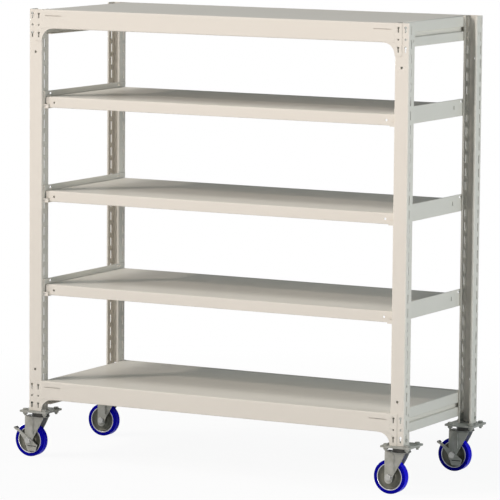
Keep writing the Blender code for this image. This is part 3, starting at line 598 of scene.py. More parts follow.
def bent_strip(points, bends, sheet):
    """The outline of a sheet bent along a path through its middle. bends are its corners' radii."""
    path = rounded(points, bends, closed=False)
    normals = []
    legs = [(after - before).normalized() for before, after in zip(path, path[1:])]
    for before, after in zip([legs[0], *legs], [*legs, legs[-1]]):
        here = (before + after).normalized()
        stretch = 1 / math.cos(before.angle(after) / 2)
        normals.append(Vector((-here.y, here.x)) * stretch * sheet / 2)
    left = [point + normal for point, normal in zip(path, normals)]
    right = [point - normal for point, normal in zip(path, normals)]
    return left + right[::-1]


def rectangle(low_x, low_y, high_x, high_y):
    return [(low_x, low_y), (high_x, low_y), (high_x, high_y), (low_x, high_y)]


def box_outline(centre_x, centre_y, width, height, corner):
    """A rectangle about its centre, with round corners."""
    half = width / 2
    rise = height / 2
    sides = rectangle(centre_x - half, centre_y - rise, centre_x + half, centre_y + rise)
    return rounded(sides, corner)


def slot(centre_x, centre_y, width, height):
    """A slot with round ends."""
    almost_half = min(width, height) / 2 - NOT_QUITE
    return box_outline(centre_x, centre_y, width, height, almost_half)


def ring(centre_x, centre_y, radius, sides=HOLE_SIDES):
    outline = []
    for side in range(sides):
        turn = 2 * math.pi * (side + 0.5) / sides
        outline.append((centre_x + radius * math.cos(turn), centre_y + radius * math.sin(turn)))
    return outline


def keyhole(centre_x, centre_y):
    """A keyhole with its round head up, centred on its height."""
    head_y = centre_y + KEYHOLE_LENGTH / 2 - KEYHOLE_HEAD_RADIUS
    half_slot = KEYHOLE_SLOT_WIDTH / 2
    notch = math.asin(half_slot / KEYHOLE_HEAD_RADIUS)
    sweep = 2 * (math.pi - notch)
    outline = []
    for step in range(HOLE_SIDES + 1):
        turn = notch - math.pi / 2 + sweep * step / HOLE_SIDES
        across = centre_x + KEYHOLE_HEAD_RADIUS * math.cos(turn)
        outline.append((across, head_y + KEYHOLE_HEAD_RADIUS * math.sin(turn)))
    foot_y = centre_y - KEYHOLE_LENGTH / 2 + half_slot
    for step in range(HOLE_SIDES // 2 + 1):
        turn = math.pi + math.pi * step / (HOLE_SIDES // 2)
        outline.append((centre_x + half_slot * math.cos(turn), foot_y + half_slot * math.sin(turn)))
    return outline


def fixing_holes(centre_x, centre_y):
    """Two keyholes with a round hole between them."""
    return [
        keyhole(centre_x, centre_y + KEYHOLE_SPACING / 2),
        ring(centre_x, centre_y, FIXING_HOLE_RADIUS),
        keyhole(centre_x, centre_y - KEYHOLE_SPACING / 2),
    ]


def blank(name, data):
    """A shape on the workbench: it helps to make a piece and isn't one."""
    tool = bpy.data.objects.new(name, data)
    workbench.objects.link(tool)
    return tool


def drawn(name, shape):
    """Puts a shape made of loose faces on the workbench."""
    mesh = bpy.data.meshes.new(name)
    shape.to_mesh(mesh)
    shape.free()
    return blank(name, mesh)


def evaluated_mesh(tool):
    """The tool's shape with its modifiers worked out."""
    bpy.context.view_layer.update()
    depsgraph = bpy.context.evaluated_depsgraph_get()
    return bpy.data.meshes.new_from_object(tool.evaluated_get(depsgraph))


def axis_basis(axis):
    """Turns a drawing in X and Y so that its third direction runs along X or Z, or against Y."""
    if axis == "X":
        return Matrix(((0, 0, 1), (1, 0, 0), (0, 1, 0))).to_4x4()
    if axis == "Y":
        return Matrix.Rotation(math.pi / 2, 4, "X")
    return Matrix.Identity(4)


def drawn_span(axis, start, end):
    """A span along the axis, in the drawing's third direction."""
    return (-end, -start) if axis == "Y" else (start, end)


def weld(mesh):
    """Merges the points that meet, and turns every face outwards."""
    shape = bmesh.new()
    shape.from_mesh(mesh)
    bmesh.ops.remove_doubles(shape, verts=shape.verts, dist=MERGE)
    bmesh.ops.recalc_face_normals(shape, faces=shape.faces)
    shape.to_mesh(mesh)
    shape.free()


def slab(name, outlines, start, end, axis):
    """A flat solid from start to end along the axis. An outline inside another is a hole."""
    drawing = bpy.data.curves.new(name, "CURVE")
    drawing.dimensions = "2D"
    drawing.fill_mode = "BOTH"
    drawing.extrude = (end - start) / 2
    for outline in outlines:
        spline = drawing.splines.new("POLY")
        spline.points.add(len(outline) - 1)
        for place, (x, y) in zip(spline.points, outline):
            place.co = (x, y, 0, 1)
        spline.use_cyclic_u = True
    guide = blank(name + "_drawing", drawing)
    mesh = evaluated_mesh(guide)
    middle = sum(drawn_span(axis, start, end)) / 2
    mesh.transform(axis_basis(axis) @ Matrix.Translation((0, 0, middle)))
    weld(mesh)
    return blank(name, mesh)


def block(name, low, high):
    """A box from one corner to the opposite one."""
    shape = bmesh.new()
    size = Vector(high) - Vector(low)
    middle = (Vector(high) + Vector(low)) / 2
    bmesh.ops.create_cube(shape, size=1, matrix=Matrix.LocRotScale(middle, None, size))
    return drawn(name, shape)


def turned(name, profile, axis, sides=ROUND_SIDES, centre=(0, 0)):
    """A closed profile of (radius, height) points, turned round the axis."""
    mesh = bpy.data.meshes.new(name)
    count = len(profile)
    edges = [(index, (index + 1) % count) for index in range(count)]
    mesh.from_pydata([(radius, 0, height) for radius, height in profile], edges, [])
    tool = blank(name + "_profile", mesh)
    screw = tool.modifiers.new("turn", "SCREW")
    screw.steps = sides
    screw.use_merge_vertices = True
    screw.merge_threshold = MERGE
    baked = evaluated_mesh(tool)
    baked.transform(axis_basis(axis) @ Matrix.Translation((*centre, 0)))
    weld(baked)
    return blank(name, baked)


def peg(name, radius, start, end, axis, centre=(0, 0)):
    """A round bar with a small bevel at both ends."""
    start, end = drawn_span(axis, start, end)
    soft = min(EDGE, radius * PEG_BEVEL_SHARE)
    outline = [(0, start), (radius - soft, start), (radius, start + soft)]
    outline += [(radius, end - soft), (radius - soft, end), (0, end)]
    return turned(name, outline, axis, centre=centre)


def hexagon(name, radius, start, end, axis, centre=(0, 0)):
    """A bolt head or a nut: a hexagonal bar whose corners are turned down at both ends."""
    start, end = drawn_span(axis, start, end)
    bar = slab(name, [ring(*centre, radius, HEX_SIDES)], start, end, "Z")
    drop = radius * HEX_CHAMFER
    core = radius * (1 - HEX_CHAMFER)
    outline = [(0, start), (core, start), (radius + drop, start + drop)]
    outline += [(radius + drop, end - drop), (core, end), (0, end)]
    keep_common(bar, turned(name + "_corners", outline, "Z", centre=centre))
    mesh = evaluated_mesh(bar)
    mesh.transform(axis_basis(axis))
    return blank(name, mesh)


def combine(tool, others, operation):
    for other in others:
        change = tool.modifiers.new(other.name, "BOOLEAN")
        change.operation = operation
        change.object = other
        change.solver = "EXACT"
    return tool


def cut(tool, *others):
    return combine(tool, others, "DIFFERENCE")


def join(tool, *others):
    return combine(tool, others, "UNION")


def keep_common(tool, *others):
    return combine(tool, others, "INTERSECT")


def soften(tool, width):
    """Rounds the sharp edges a little, so that they catch the light."""
    edges = tool.modifiers.new("edges", "BEVEL")
    edges.width = width
    edges.segments = EDGE_SEGMENTS
    edges.limit_method = "ANGLE"
    edges.angle_limit = SMOOTH_ANGLE
    edges.use_clamp_overlap = True
    return tool


def together(name, tools):
    """Separate shapes as one mesh: pieces that only touch, such as a plate and its bolts."""
    shape = bmesh.new()
    for tool in tools:
        shape.from_mesh(evaluated_mesh(tool))
    return drawn(name, shape)


def finished(tool, *finishes):
    """The tool's shape as a mesh of its own. Its workbench is cleared."""
    even = tool.modifiers.new("even", "WEIGHTED_NORMAL")
    even.keep_sharp = True
    mesh = evaluated_mesh(tool)
    mesh.materials.clear()
    for finish in finishes:
        mesh.materials.append(materials[finish])
    mesh.shade_smooth()
    mesh.set_sharp_from_angle(angle=SMOOTH_ANGLE)
    for old in list(workbench.objects):
        bpy.data.objects.remove(old)
    return mesh


def paint_shade(mesh, low, high):
    """Gives the mesh's second finish, a painted shade, to the faces whose middle lies in the box.
    """
    for face in mesh.polygons:
        if all(start < place < end for start, place, end in zip(low, face.center, high)):
            face.material_index = 1


def piece(node, mesh, body, place, turn=0.0):
    """Puts a finished shape where its node is, and lets it stand for that node."""
    made = bpy.data.objects.new("finished_" + node, mesh)
    bpy.context.scene.collection.objects.link(made)
    made.matrix_world = Matrix.Translation(place) @ Matrix.Rotation(turn, 4, "Z")
    even = made.modifiers.new("even", "WEIGHTED_NORMAL")
    even.keep_sharp = True
    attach(made, body)
    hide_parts(node)


def side_beam_top(level):
    return level - SIDE_BEAM_DROP


def post_shape(outer):
    """A lipped channel with its web at Y = 0. outer is the sign of X at its fixing holes."""
    edge = (POST_WIDTH - SHEET) / 2
    near = SHEET / 2
    far = POST_DEPTH - SHEET / 2
    lip_end = POST_WIDTH / 2 - POST_LIP
    path = [(-lip_end, far), (-edge, far), (-edge, near), (edge, near), (edge, far), (lip_end, far)]
    post = slab("post_shape", [bent_strip(path, POST_BEND, SHEET)], 0, POST_HEIGHT, "Z")
    across = POST_WIDTH / 2 + OVERRUN
    slots = []
    for index in range(math.floor(POST_HEIGHT / SLOT_PITCH)):
        slots.append(slot(SLOT_FROM_WEB, SLOT_PITCH * (index + 0.5), SLOT_WIDTH, SLOT_LENGTH))
    decks = (LOWER_DECK_HEIGHT, POST_HEIGHT)
    size = (HOOK_SLOT_WIDTH, HOOK_SLOT_LENGTH, EDGE)
    for height in [*(side_beam_top(deck) - SIDE_HOOK_DROP for deck in decks), SPARE_SLOT_HEIGHT]:
        slots.append(box_outline(HOOK_SLOT_FROM_WEB, height, *size))
    holes = []
    hidden = []
    column = outer * (POST_WIDTH / 2 - FIXING_FROM_EDGE)
    for height in (FIXING_FROM_END, POST_HEIGHT - FIXING_FROM_END):
        holes += fixing_holes(column, height)
        hidden += fixing_holes(-column, height - HIDDEN_HOLE_DROP)
    for height in (WEB_HOLE_FROM_END, POST_HEIGHT - WEB_HOLE_FROM_END):
        holes.append(ring(0, height, WEB_HOLE_RADIUS))
    cut(post, slab("post_slots", slots, -across, across, "X"))
    cut(post, slab("post_holes", holes, -OVERRUN, SHEET + OVERRUN, "Y"))
    cut(post, slab("post_blind_holes", hidden, -OVERRUN, HIDDEN_HOLE_DEPTH, "Y"))
    # The floors of the blind holes behind the end plate's keyholes get the dark hub finish, as
    # painted shade in these recesses.
    mesh = finished(post, "paint", "hub")
    half = POST_WIDTH / 2 - SHEET
    low = (-half, HIDDEN_HOLE_DEPTH - WELD_STEP, 0)
    paint_shade(mesh, low, (half, HIDDEN_HOLE_DEPTH + WELD_STEP, POST_HEIGHT))
    return mesh


def end_plate(side):
    """The plate that laps half of a post's web, with a concave gusset down from the beam."""
    outer = side * POST_CENTRE_X
    inner = side * BAY_HALF_WIDTH
    lap = side * (BAY_HALF_WIDTH - END_PLATE_LAP)
    foot = side * (BAY_HALF_WIDTH - GUSSET_RADIUS - END_PLATE_LAP)
    lowered = -BEAM_BEND - END_PLATE_LAP
    under = -BEAM_HEIGHT - WELD_STEP
    points = [
        (outer, 0),
        (outer, -BEAM_END_HEIGHT),
        (inner, -BEAM_END_HEIGHT),
        (inner, under),
        (foot, under),
        (foot, lowered),
        (lap, lowered),
        (lap, 0),
    ]
    radii = [EDGE, EDGE, EDGE, GUSSET_RADIUS, 0, 0, 0, 0]
    centre_x = side * (RACK_WIDTH / 2 - POST_WIDTH + FIXING_FROM_EDGE)
    outlines = [rounded(points, radii), *fixing_holes(centre_x, -FIXING_FROM_END)]
    back = -TOUCH_GAP - WELD_STEP
    return slab("end_plate", outlines, back - SHEET + 2 * WELD_STEP, back, "Y")


def beam_shape():
    """A channel with an open inner ledge and an end plate at each end. Its top is at Z = 0."""
    face = -TOUCH_GAP - SHEET / 2
    under = SHEET / 2 - BEAM_HEIGHT
    ledge_top = -TRAY_LIP - TOUCH_GAP
    path = [
        (BEAM_TOP_RETURN, -SHEET / 2),
        (face, -SHEET / 2),
        (face, under),
        (BEAM_LEDGE_DEPTH, under),
        (BEAM_LEDGE_DEPTH, ledge_top),
    ]
    bends = [0, BEAM_BEND, BEAM_INNER_BEND, BEAM_INNER_BEND, 0]
    reach = BAY_HALF_WIDTH - BEAM_END_CLEARANCE
    beam = slab("beam_shape", [bent_strip(path, bends, SHEET)], -reach, reach, "X")
    join(beam, end_plate(-1), end_plate(1))
    middle = RACK_WIDTH / 2 - GROOVE_FROM_EDGE - GROOVE_LENGTH / 2
    front = -TOUCH_GAP - SHEET
    for width, back in [(GROOVE_WIDTH, front + GROOVE_DEPTH), (GROOVE_SLIT, OVERRUN)]:
        grooves = [slot(side * middle, -GROOVE_DROP, GROOVE_LENGTH, width) for side in (-1, 1)]
        cut(beam, slab("beam_grooves", grooves, front - OVERRUN, back, "Y"))
    return finished(beam, "paint")


def stiffener(reach):
    """A hat section welded to the underside, along the middle."""
    level = -TRAY_SHEET
    crest = level - STIFFENER_HEIGHT
    wide = STIFFENER_WIDTH / 2
    foot = wide + STIFFENER_FOOT
    rise = [(-foot, level), (-wide, level), (-wide, crest)]
    path = rise + [(-y, height) for y, height in rise[::-1]]
    outline = bent_strip(path, STIFFENER_BEND, TRAY_SHEET)
    return slab("stiffener", [outline], -reach, reach, "X")


def tray_sheet(half_width, half_depth):
    """A box open below with a turned edge, folded from one sheet, with mitred corners."""
    near = TRAY_SHEET / 2
    under = near - TRAY_LIP
    flat_from = TRAY_BEND * 2
    path = [(TRAY_RETURN, under), (near, under), (near, -near), (flat_from, -near)]
    outline = bent_strip(path, [0, TRAY_INNER_BEND, TRAY_BEND, 0], TRAY_SHEET)
    half = len(outline) // 2
    shape = bmesh.new()
    loops = []
    for inset, height in outline[half:] + outline[:half]:
        x = half_width - inset
        y = half_depth - inset
        loops.append([shape.verts.new((*corner, height)) for corner in rectangle(-x, -y, x, y)])
    for loop, following in zip(loops, loops[1:]):
        ahead, following_ahead = (corners[1:] + corners[:1] for corners in (loop, following))
        for corners in zip(loop, ahead, following_ahead, following):
            shape.faces.new(corners)
    shape.faces.new(loops[0])
    shape.faces.new(loops[-1])
    bmesh.ops.recalc_face_normals(shape, faces=shape.faces)
    return drawn("tray_sheet", shape)


def tray_shape(half_width, half_depth, holes):
    """A tray with its top at Z = 0 and a stiffener below."""
    tray = tray_sheet(half_width, half_depth)
    join(tray, stiffener(half_width - STIFFENER_END_GAP))
    if holes:
        half_reach = half_depth + OVERRUN
        place = half_width - SHELF_HOLE_FROM_END
        rings = [ring(side * place, -SHELF_HOLE_DROP, SHELF_HOLE_RADIUS) for side in (-1, 1)]
        cut(tray, slab("tray_holes", rings, -half_reach, half_reach, "Y"))
    return finished(tray, "paint")


def hook(name, web, y, bottom, height):
    """A hook that goes through a slot in the post's flange at X < 0 and drops behind it."""
    behind = -SHEET - TOUCH_GAP
    end = -SHEET - HOOK_REACH
    points = [
        (web, bottom),
        (behind, bottom),
        (behind, bottom - HOOK_NOSE),
        (end, bottom - HOOK_NOSE),
        (end, bottom + height),
        (web, bottom + height),
    ]
    outline = rounded(points, [0, 0, EDGE, EDGE, EDGE, 0])
    return slab(name, [outline], y - SHEET / 2, y + SHEET / 2, "Y")


def rail_shape():
    """A left side rail. X = 0 is the inner flange's face, and Z = 0 the top of its shelf."""
    top = RAIL_RISE
    under = -TRAY_LIP - TOUCH_GAP - SHEET
    back = TOUCH_GAP
    web = back + SHEET / 2
    hem = web + SHEET + RAIL_HEM_GAP
    path = [
        (back + RAIL_FLANGE, under + SHEET / 2),
        (web, under + SHEET / 2),
        (web, top - SHEET / 2),
        (hem, top - SHEET / 2),
        (hem, top - RAIL_HEM),
    ]
    fold = (SHEET + RAIL_HEM_GAP) / 2 - NOT_QUITE
    bends = [0, RAIL_BEND, fold, fold, 0]
    reach = WEB_FACE - RAIL_END_INSET
    rail = slab("rail_shape", [bent_strip(path, bends, SHEET - NOT_QUITE)], -reach, reach, "Y")
    slot_bottom = -SHEET - SLOT_LENGTH / 2
    window_size = (RAIL_WINDOW_LENGTH, RAIL_WINDOW_HEIGHT, RAIL_WINDOW_CORNER)
    openings = []
    for side in (-1, 1):
        end = side * reach
        inward = end - side * SHEET
        low = (back + WELD_STEP, min(end, inward) + WELD_STEP, under + WELD_STEP)
        high = (back + RAIL_FLANGE - WELD_STEP, max(end, inward) - WELD_STEP, under + RAIL_END_TAB)
        join(rail, block("rail_tab", low, high))
        y = side * (WEB_FACE - SLOT_FROM_WEB)
        join(rail, hook("rail_hook", web, y, slot_bottom + TOUCH_GAP, RAIL_HOOK_HEIGHT))
        window = side * (WEB_FACE - RAIL_WINDOW_FROM_WEB)
        openings.append(box_outline(window, top - RAIL_WINDOW_DROP, *window_size))
        centre = side * (WEB_FACE - RAIL_SLOT_FROM_WEB)
        openings.append(slot(centre, top - RAIL_SLOT_DROP, RAIL_SLOT_WIDTH, RAIL_SLOT_HEIGHT))
    cut(rail, slab("rail_openings", openings, -OVERRUN, hem + OVERRUN, "X"))
    return finished(rail, "paint")


def side_beam_shape():
    """A left side beam with an inner ledge up to its shelf. X = 0 is the inner flange's face."""
    web = TOUCH_GAP + SHEET / 2
    tip = TOUCH_GAP + SIDE_BEAM_FLANGE
    ledge = TOUCH_GAP + SIDE_BEAM_LEDGE_DEPTH
    path = [
        (ledge, SIDE_BEAM_DROP - TRAY_LIP - TOUCH_GAP),
        (ledge, -SHEET / 2),
        (web, -SHEET / 2),
        (web, SHEET / 2 - SIDE_BEAM_HEIGHT),
        (tip, SHEET / 2 - SIDE_BEAM_HEIGHT),
    ]
    reach = WEB_FACE - SIDE_BEAM_END_INSET
    beam = slab("side_beam_shape", [bent_strip(path, SIDE_BEAM_BEND, SHEET)], -reach, reach, "Y")
    bottom = -SIDE_HOOK_DROP - HOOK_SLOT_LENGTH / 2 + TOUCH_GAP
    for side in (-1, 1):
        y = side * (WEB_FACE - HOOK_SLOT_FROM_WEB)
        join(beam, hook("side_beam_hook", web, y, bottom, SIDE_HOOK_HEIGHT))
    return finished(beam, "paint")


def bolt_places():
    half = BOLT_SPACING / 2
    return [(x, y) for x in (-half, half) for y in (-half, half)]


def mount_plate(bottom, top):
    """A square plate about the swivel axis, with round corners and softened edges."""
    outline = box_outline(0, 0, MOUNT_SIZE, MOUNT_SIZE, MOUNT_CORNER)
    return soften(slab("mount_plate", [outline], bottom, top, "Z"), EDGE)


def bolt_end(start, centre):
    """The end of a bolt below its nut, with grooves for its thread."""
    radius = BOLT_END_RADIUS
    end = start - BOLT_END_LENGTH
    outline = [(0, start), (radius, start)]
    level = start
    while level - THREAD_PITCH > end + THREAD_PITCH / 2:
        outline.append((radius - THREAD_DEPTH, level - THREAD_PITCH / 2))
        level -= THREAD_PITCH
        outline.append((radius, level))
    outline += [(radius - THREAD_DEPTH * 2, end), (0, end)]
    return turned("bolt_end", outline, "Z", HOLE_SIDES * 2, centre)


def bracket_shape(outer):
    """A foot bracket about the swivel axis. outer is the sign of X at the post's outer flange."""
    shapes = [mount_plate(BRACKET_BOTTOM, BRACKET_TOP)]
    seat = BRACKET_TOP + WASHER_HEIGHT
    head_top = BRACKET_TOP + BOLT_HEAD_HEIGHT
    for place in bolt_places():
        shapes.append(peg("bolt_washer", WASHER_RADIUS, BRACKET_TOP, seat, "Z", place))
        shapes.append(hexagon("bolt_head", BOLT_HEX_RADIUS, seat, head_top, "Z", place))
    low_y = -MOUNT_FROM_FRONT + SHEET + BRACKET_LEG_INSET
    high_y = -MOUNT_FROM_FRONT + POST_DEPTH - SHEET - BRACKET_LEG_INSET
    leg = POST_WIDTH / 2 - SHEET - TOUCH_GAP - BRACKET_LEG_SHEET / 2
    level = BRACKET_TOP + BRACKET_LEG_SHEET / 2 - WELD_STEP
    for side in (-1, 1):
        face = side * leg
        foot = face - side * (BRACKET_LEG_SHEET + BRACKET_LEG_BEND * 2)
        path = [(foot, level), (face, level), (face, BRACKET_LEG_HEIGHT)]
        strip = bent_strip(path, BRACKET_LEG_BEND, BRACKET_LEG_SHEET)
        shapes.append(slab("bracket_leg", [strip], low_y, high_y, "Y"))
    centre = (SLOT_FROM_WEB - MOUNT_FROM_FRONT, FOOT_BOLT_HEIGHT)
    head_start = POST_WIDTH / 2 + TOUCH_GAP
    head_end = head_start + FOOT_BOLT_HEAD_HEIGHT
    shank = sorted((outer * leg, outer * head_start))
    shapes.append(peg("foot_bolt", FOOT_BOLT_RADIUS, *shank, "X", centre))
    head = sorted((outer * head_start, outer * head_end))
    shapes.append(hexagon("foot_bolt_head", FOOT_BOLT_HEAD_RADIUS, *head, "X", centre))
    return finished(together("bracket_shape", shapes), "zinc")


def plate_shape():
    """The caster's top plate with its nuts and bolt ends, the bearing cone and the kingpin."""
    shapes = [mount_plate(PLATE_BOTTOM, PLATE_TOP)]
    nut_end = PLATE_BOTTOM - BOLT_NUT_HEIGHT
    seat = PLATE_BOTTOM - WASHER_HEIGHT
    for place in bolt_places():
        shapes.append(peg("nut_washer", WASHER_RADIUS, seat, PLATE_BOTTOM, "Z", place))
        shapes.append(hexagon("bolt_nut", BOLT_HEX_RADIUS, nut_end, seat, "Z", place))
        shapes.append(bolt_end(nut_end, place))
    cone_radius = RACE_RADIUS - RACE_WALL - RACE_CLEARANCE
    cone_end = PLATE_BOTTOM - CONE_DEPTH
    head_top = CROWN_BOTTOM - TOUCH_GAP
    head_end = head_top - KINGPIN_HEAD_HEIGHT
    profile = [
        (0, PLATE_BOTTOM),
        (cone_radius, PLATE_BOTTOM),
        (cone_radius, cone_end + CONE_EDGE),
        (cone_radius - CONE_EDGE, cone_end),
        (KINGPIN_RADIUS, cone_end),
        (KINGPIN_RADIUS, head_top),
        (KINGPIN_HEAD_RADIUS, head_top),
        (KINGPIN_HEAD_RADIUS, head_end + KINGPIN_HEAD_CHAMFER / 2),
        (KINGPIN_HEAD_RADIUS - KINGPIN_HEAD_CHAMFER, head_end),
        (0, head_end),
    ]
    shapes.append(turned("kingpin", profile, "Z"))
    # The bearing cone under the plate gets the near-black race finish, as painted shade under the
    # plate.
    mesh = finished(together("plate_shape", shapes), "zinc", "race")
    low = (-cone_radius, -cone_radius, cone_end - EDGE)
    paint_shade(mesh, low, (cone_radius, cone_radius, PLATE_BOTTOM - EDGE))
    return mesh


def fork_outline():
    """The fork seen from its side, about the swivel axis."""
    lowest = -AXLE_DROP - FORK_END_BELOW_AXLE
    behind = -TRAIL - FORK_END_BEHIND
    ahead = FORK_END_AHEAD - TRAIL
    above = CROWN_TOP + OVERRUN
    points = [
        (behind, lowest),
        (ahead, lowest),
        (ahead, -AXLE_DROP),
        (FORK_SHOULDER_AHEAD, -FORK_SHOULDER_DROP),
        (FORK_FRONT, -FORK_NECK_DROP),
        (FORK_FRONT, above),
        (behind, above),
    ]
    radii = [FORK_END_RADIUS, FORK_END_RADIUS, FORK_END_RADIUS, FORK_SHOULDER_ROUNDING, EDGE, 0, 0]
    return rounded(points, radii)


def fork_crease(side):
    """What the narrow crease down the middle of a leg takes out of its outer face."""
    face = side * FORK_HALF_WIDTH
    middle_z = -(CREASE_TOP + CREASE_FOOT) / 2
    outline = slot(CREASE_X, middle_z, CREASE_WIDTH, CREASE_FOOT - CREASE_TOP)
    low, high = sorted((face - side * CREASE_DEPTH, face + side * OVERRUN))
    return slab("fork_crease", [outline], low, high, "Y")


def fork_shape():
    """A sheet bent into a U over the wheel and trimmed. The swivel's axis is at X = Y = 0."""
    side = FORK_HALF_WIDTH - FORK_SHEET / 2
    level = CROWN_TOP - FORK_SHEET / 2
    lowest = -AXLE_DROP - FORK_END_BELOW_AXLE - OVERRUN
    path = [(-side, lowest), (-side, level), (side, level), (side, lowest)]
    outline = bent_strip(path, FORK_BEND, FORK_SHEET)
    behind = -TRAIL - FORK_END_BEHIND - OVERRUN
    fork = slab("fork_shape", [outline], behind, FORK_FRONT + OVERRUN, "X")
    wide = FORK_HALF_WIDTH + OVERRUN
    keep_common(fork, slab("fork_outline", [fork_outline()], -wide, wide, "Y"))
    pin_hole = KINGPIN_RADIUS + KINGPIN_CLEARANCE
    cut(fork, peg("fork_pin_hole", pin_hole, CROWN_BOTTOM - OVERRUN, CROWN_TOP + OVERRUN, "Z"))
    axle_hole = AXLE_RADIUS + AXLE_HOLE_CLEARANCE
    cut(fork, peg("fork_axle_hole", axle_hole, -wide, wide, "Y", (-TRAIL, -AXLE_DROP)))
    soften(fork, FORK_EDGE)
    cut(fork, fork_crease(-1), fork_crease(1))
    race_top = PLATE_BOTTOM - RACE_CLEARANCE
    inner = RACE_RADIUS - RACE_WALL
    bead = race_top - RACE_BEAD * 2
    profile = [
        (inner, race_top),
        (RACE_RADIUS - RACE_BEAD, race_top),
        (RACE_RADIUS, race_top - RACE_BEAD),
        (RACE_RADIUS, bead),
        (RACE_RADIUS - RACE_BEAD, bead - RACE_BEAD),
        (RACE_RADIUS - RACE_BEAD, CROWN_TOP + RACE_BEAD * 2),
        (RACE_RADIUS + RACE_BEAD, CROWN_TOP),
        (RACE_RADIUS, level),
        (inner, level),
    ]
    race = turned("fork_race", profile, "Z", WHEEL_SIDES)
    # The race and the crown's top get the near-black race finish, as painted shade under the caster
    # plate.
    mesh = finished(together("fork_shape", [fork, race]), "zinc", "race")
    reach = RACE_RADIUS + RACE_BEAD * 2
    paint_shade(mesh, (-reach, -reach, CROWN_TOP - EDGE), (reach, reach, 0))
    # The crease down each leg gets the near-black race finish too, as painted shade in the crease.
    shallow = FORK_HALF_WIDTH - EDGE
    deep = shallow - CREASE_DEPTH
    for low_y, high_y in [(-shallow, -deep), (deep, shallow)]:
        low = (CREASE_X - CREASE_WIDTH, low_y, -CREASE_FOOT - CREASE_WIDTH)
        paint_shade(mesh, low, (CREASE_X + CREASE_WIDTH, high_y, CREASE_WIDTH - CREASE_TOP))
    return mesh


def axle_shape(room):
    """The axle bolt along Y, its head at -Y. room is what a lever takes up under the head."""
    grip = FORK_HALF_WIDTH + TOUCH_GAP
    head = -grip - room
    shapes = [
        peg("axle_pin", AXLE_RADIUS, head - AXLE_HEX_HEIGHT / 2, grip + AXLE_HEX_HEIGHT, "Y"),
        peg("head_washer", AXLE_HEX_RADIUS, head - WASHER_HEIGHT, head, "Y"),
        hexagon("axle_head", AXLE_HEX_RADIUS, head - AXLE_HEX_HEIGHT, head - WASHER_HEIGHT, "Y"),
        peg("nut_washer", AXLE_HEX_RADIUS, grip, grip + WASHER_HEIGHT, "Y"),
        hexagon("axle_nut", AXLE_HEX_RADIUS, grip + WASHER_HEIGHT, grip + AXLE_HEX_HEIGHT, "Y"),
    ]
    return finished(together("axle_shape", shapes), "bolt")


def hub_shape():
    """The wheel's centre: a boss with a seal, a dished web and a rim ring with a painted highlight.
    """
    bore = AXLE_RADIUS + HUB_BORE_CLEARANCE
    boss = FORK_HALF_WIDTH - FORK_SHEET - TOUCH_GAP
    rim = TYRE_RADIUS - TYRE_THICKNESS - TOUCH_GAP
    half_rim = HUB_RIM_WIDTH / 2
    upper = [
        (bore, boss - HUB_SEAL_DEPTH),
        (HUB_SEAL_RADIUS, boss - HUB_SEAL_DEPTH),
        (HUB_SEAL_RADIUS, boss),
        (HUB_BOSS_RADIUS - EDGE, boss),
        (HUB_BOSS_RADIUS, boss - EDGE),
        (HUB_BOSS_RADIUS + EDGE, HUB_DISH_HALF + HUB_BOSS_FOOT),
        (HUB_FOOT_RADIUS, HUB_DISH_HALF),
        (HUB_DISH_RADIUS, HUB_DISH_HALF),
        (rim - HUB_RIM_RING, half_rim - HUB_RIM_STEP),
        (rim - HUB_RIM_RING + EDGE, half_rim),
        (rim - EDGE, half_rim),
        (rim, half_rim - EDGE),
    ]
    lower = [(radius, -height) for radius, height in upper[::-1]]
    mesh = finished(turned("hub_shape", upper + lower, "Y", WHEEL_SIDES), "hub", "rim")
    # The faces of the rim ring get the light rim finish, a painted highlight.
    for face in mesh.polygons:
        middle = face.center
        if math.hypot(middle.x, middle.z) > rim - HUB_RIM_RING:
            face.material_index = 1
    return mesh


def tyre_shape():
    """A solid tyre with round shoulders and a lip against the hub's rim."""
    half = TYRE_WIDTH / 2
    bore = TYRE_RADIUS - TYRE_THICKNESS
    corners = [
        (bore, half - TYRE_LIP),
        (bore + TYRE_LIP, half),
        (TYRE_RADIUS, half),
        (TYRE_RADIUS, -half),
        (bore + TYRE_LIP, -half),
        (bore, TYRE_LIP - half),
    ]
    outline = rounded(corners, [0, TYRE_LIP / 2, TYRE_SHOULDER, TYRE_SHOULDER, TYRE_LIP / 2, 0])
    return finished(turned("tyre_shape", outline, "Y", WHEEL_SIDES), "tyre")


def pedal_basis():
    """Brings the pedal, drawn with X away from the axle, to its place round the axle."""
    turn = Matrix.Rotation(-PEDAL_ANGLE, 4, "Y")
    return turn @ Matrix.Translation((PEDAL_REACH, 0, 0))


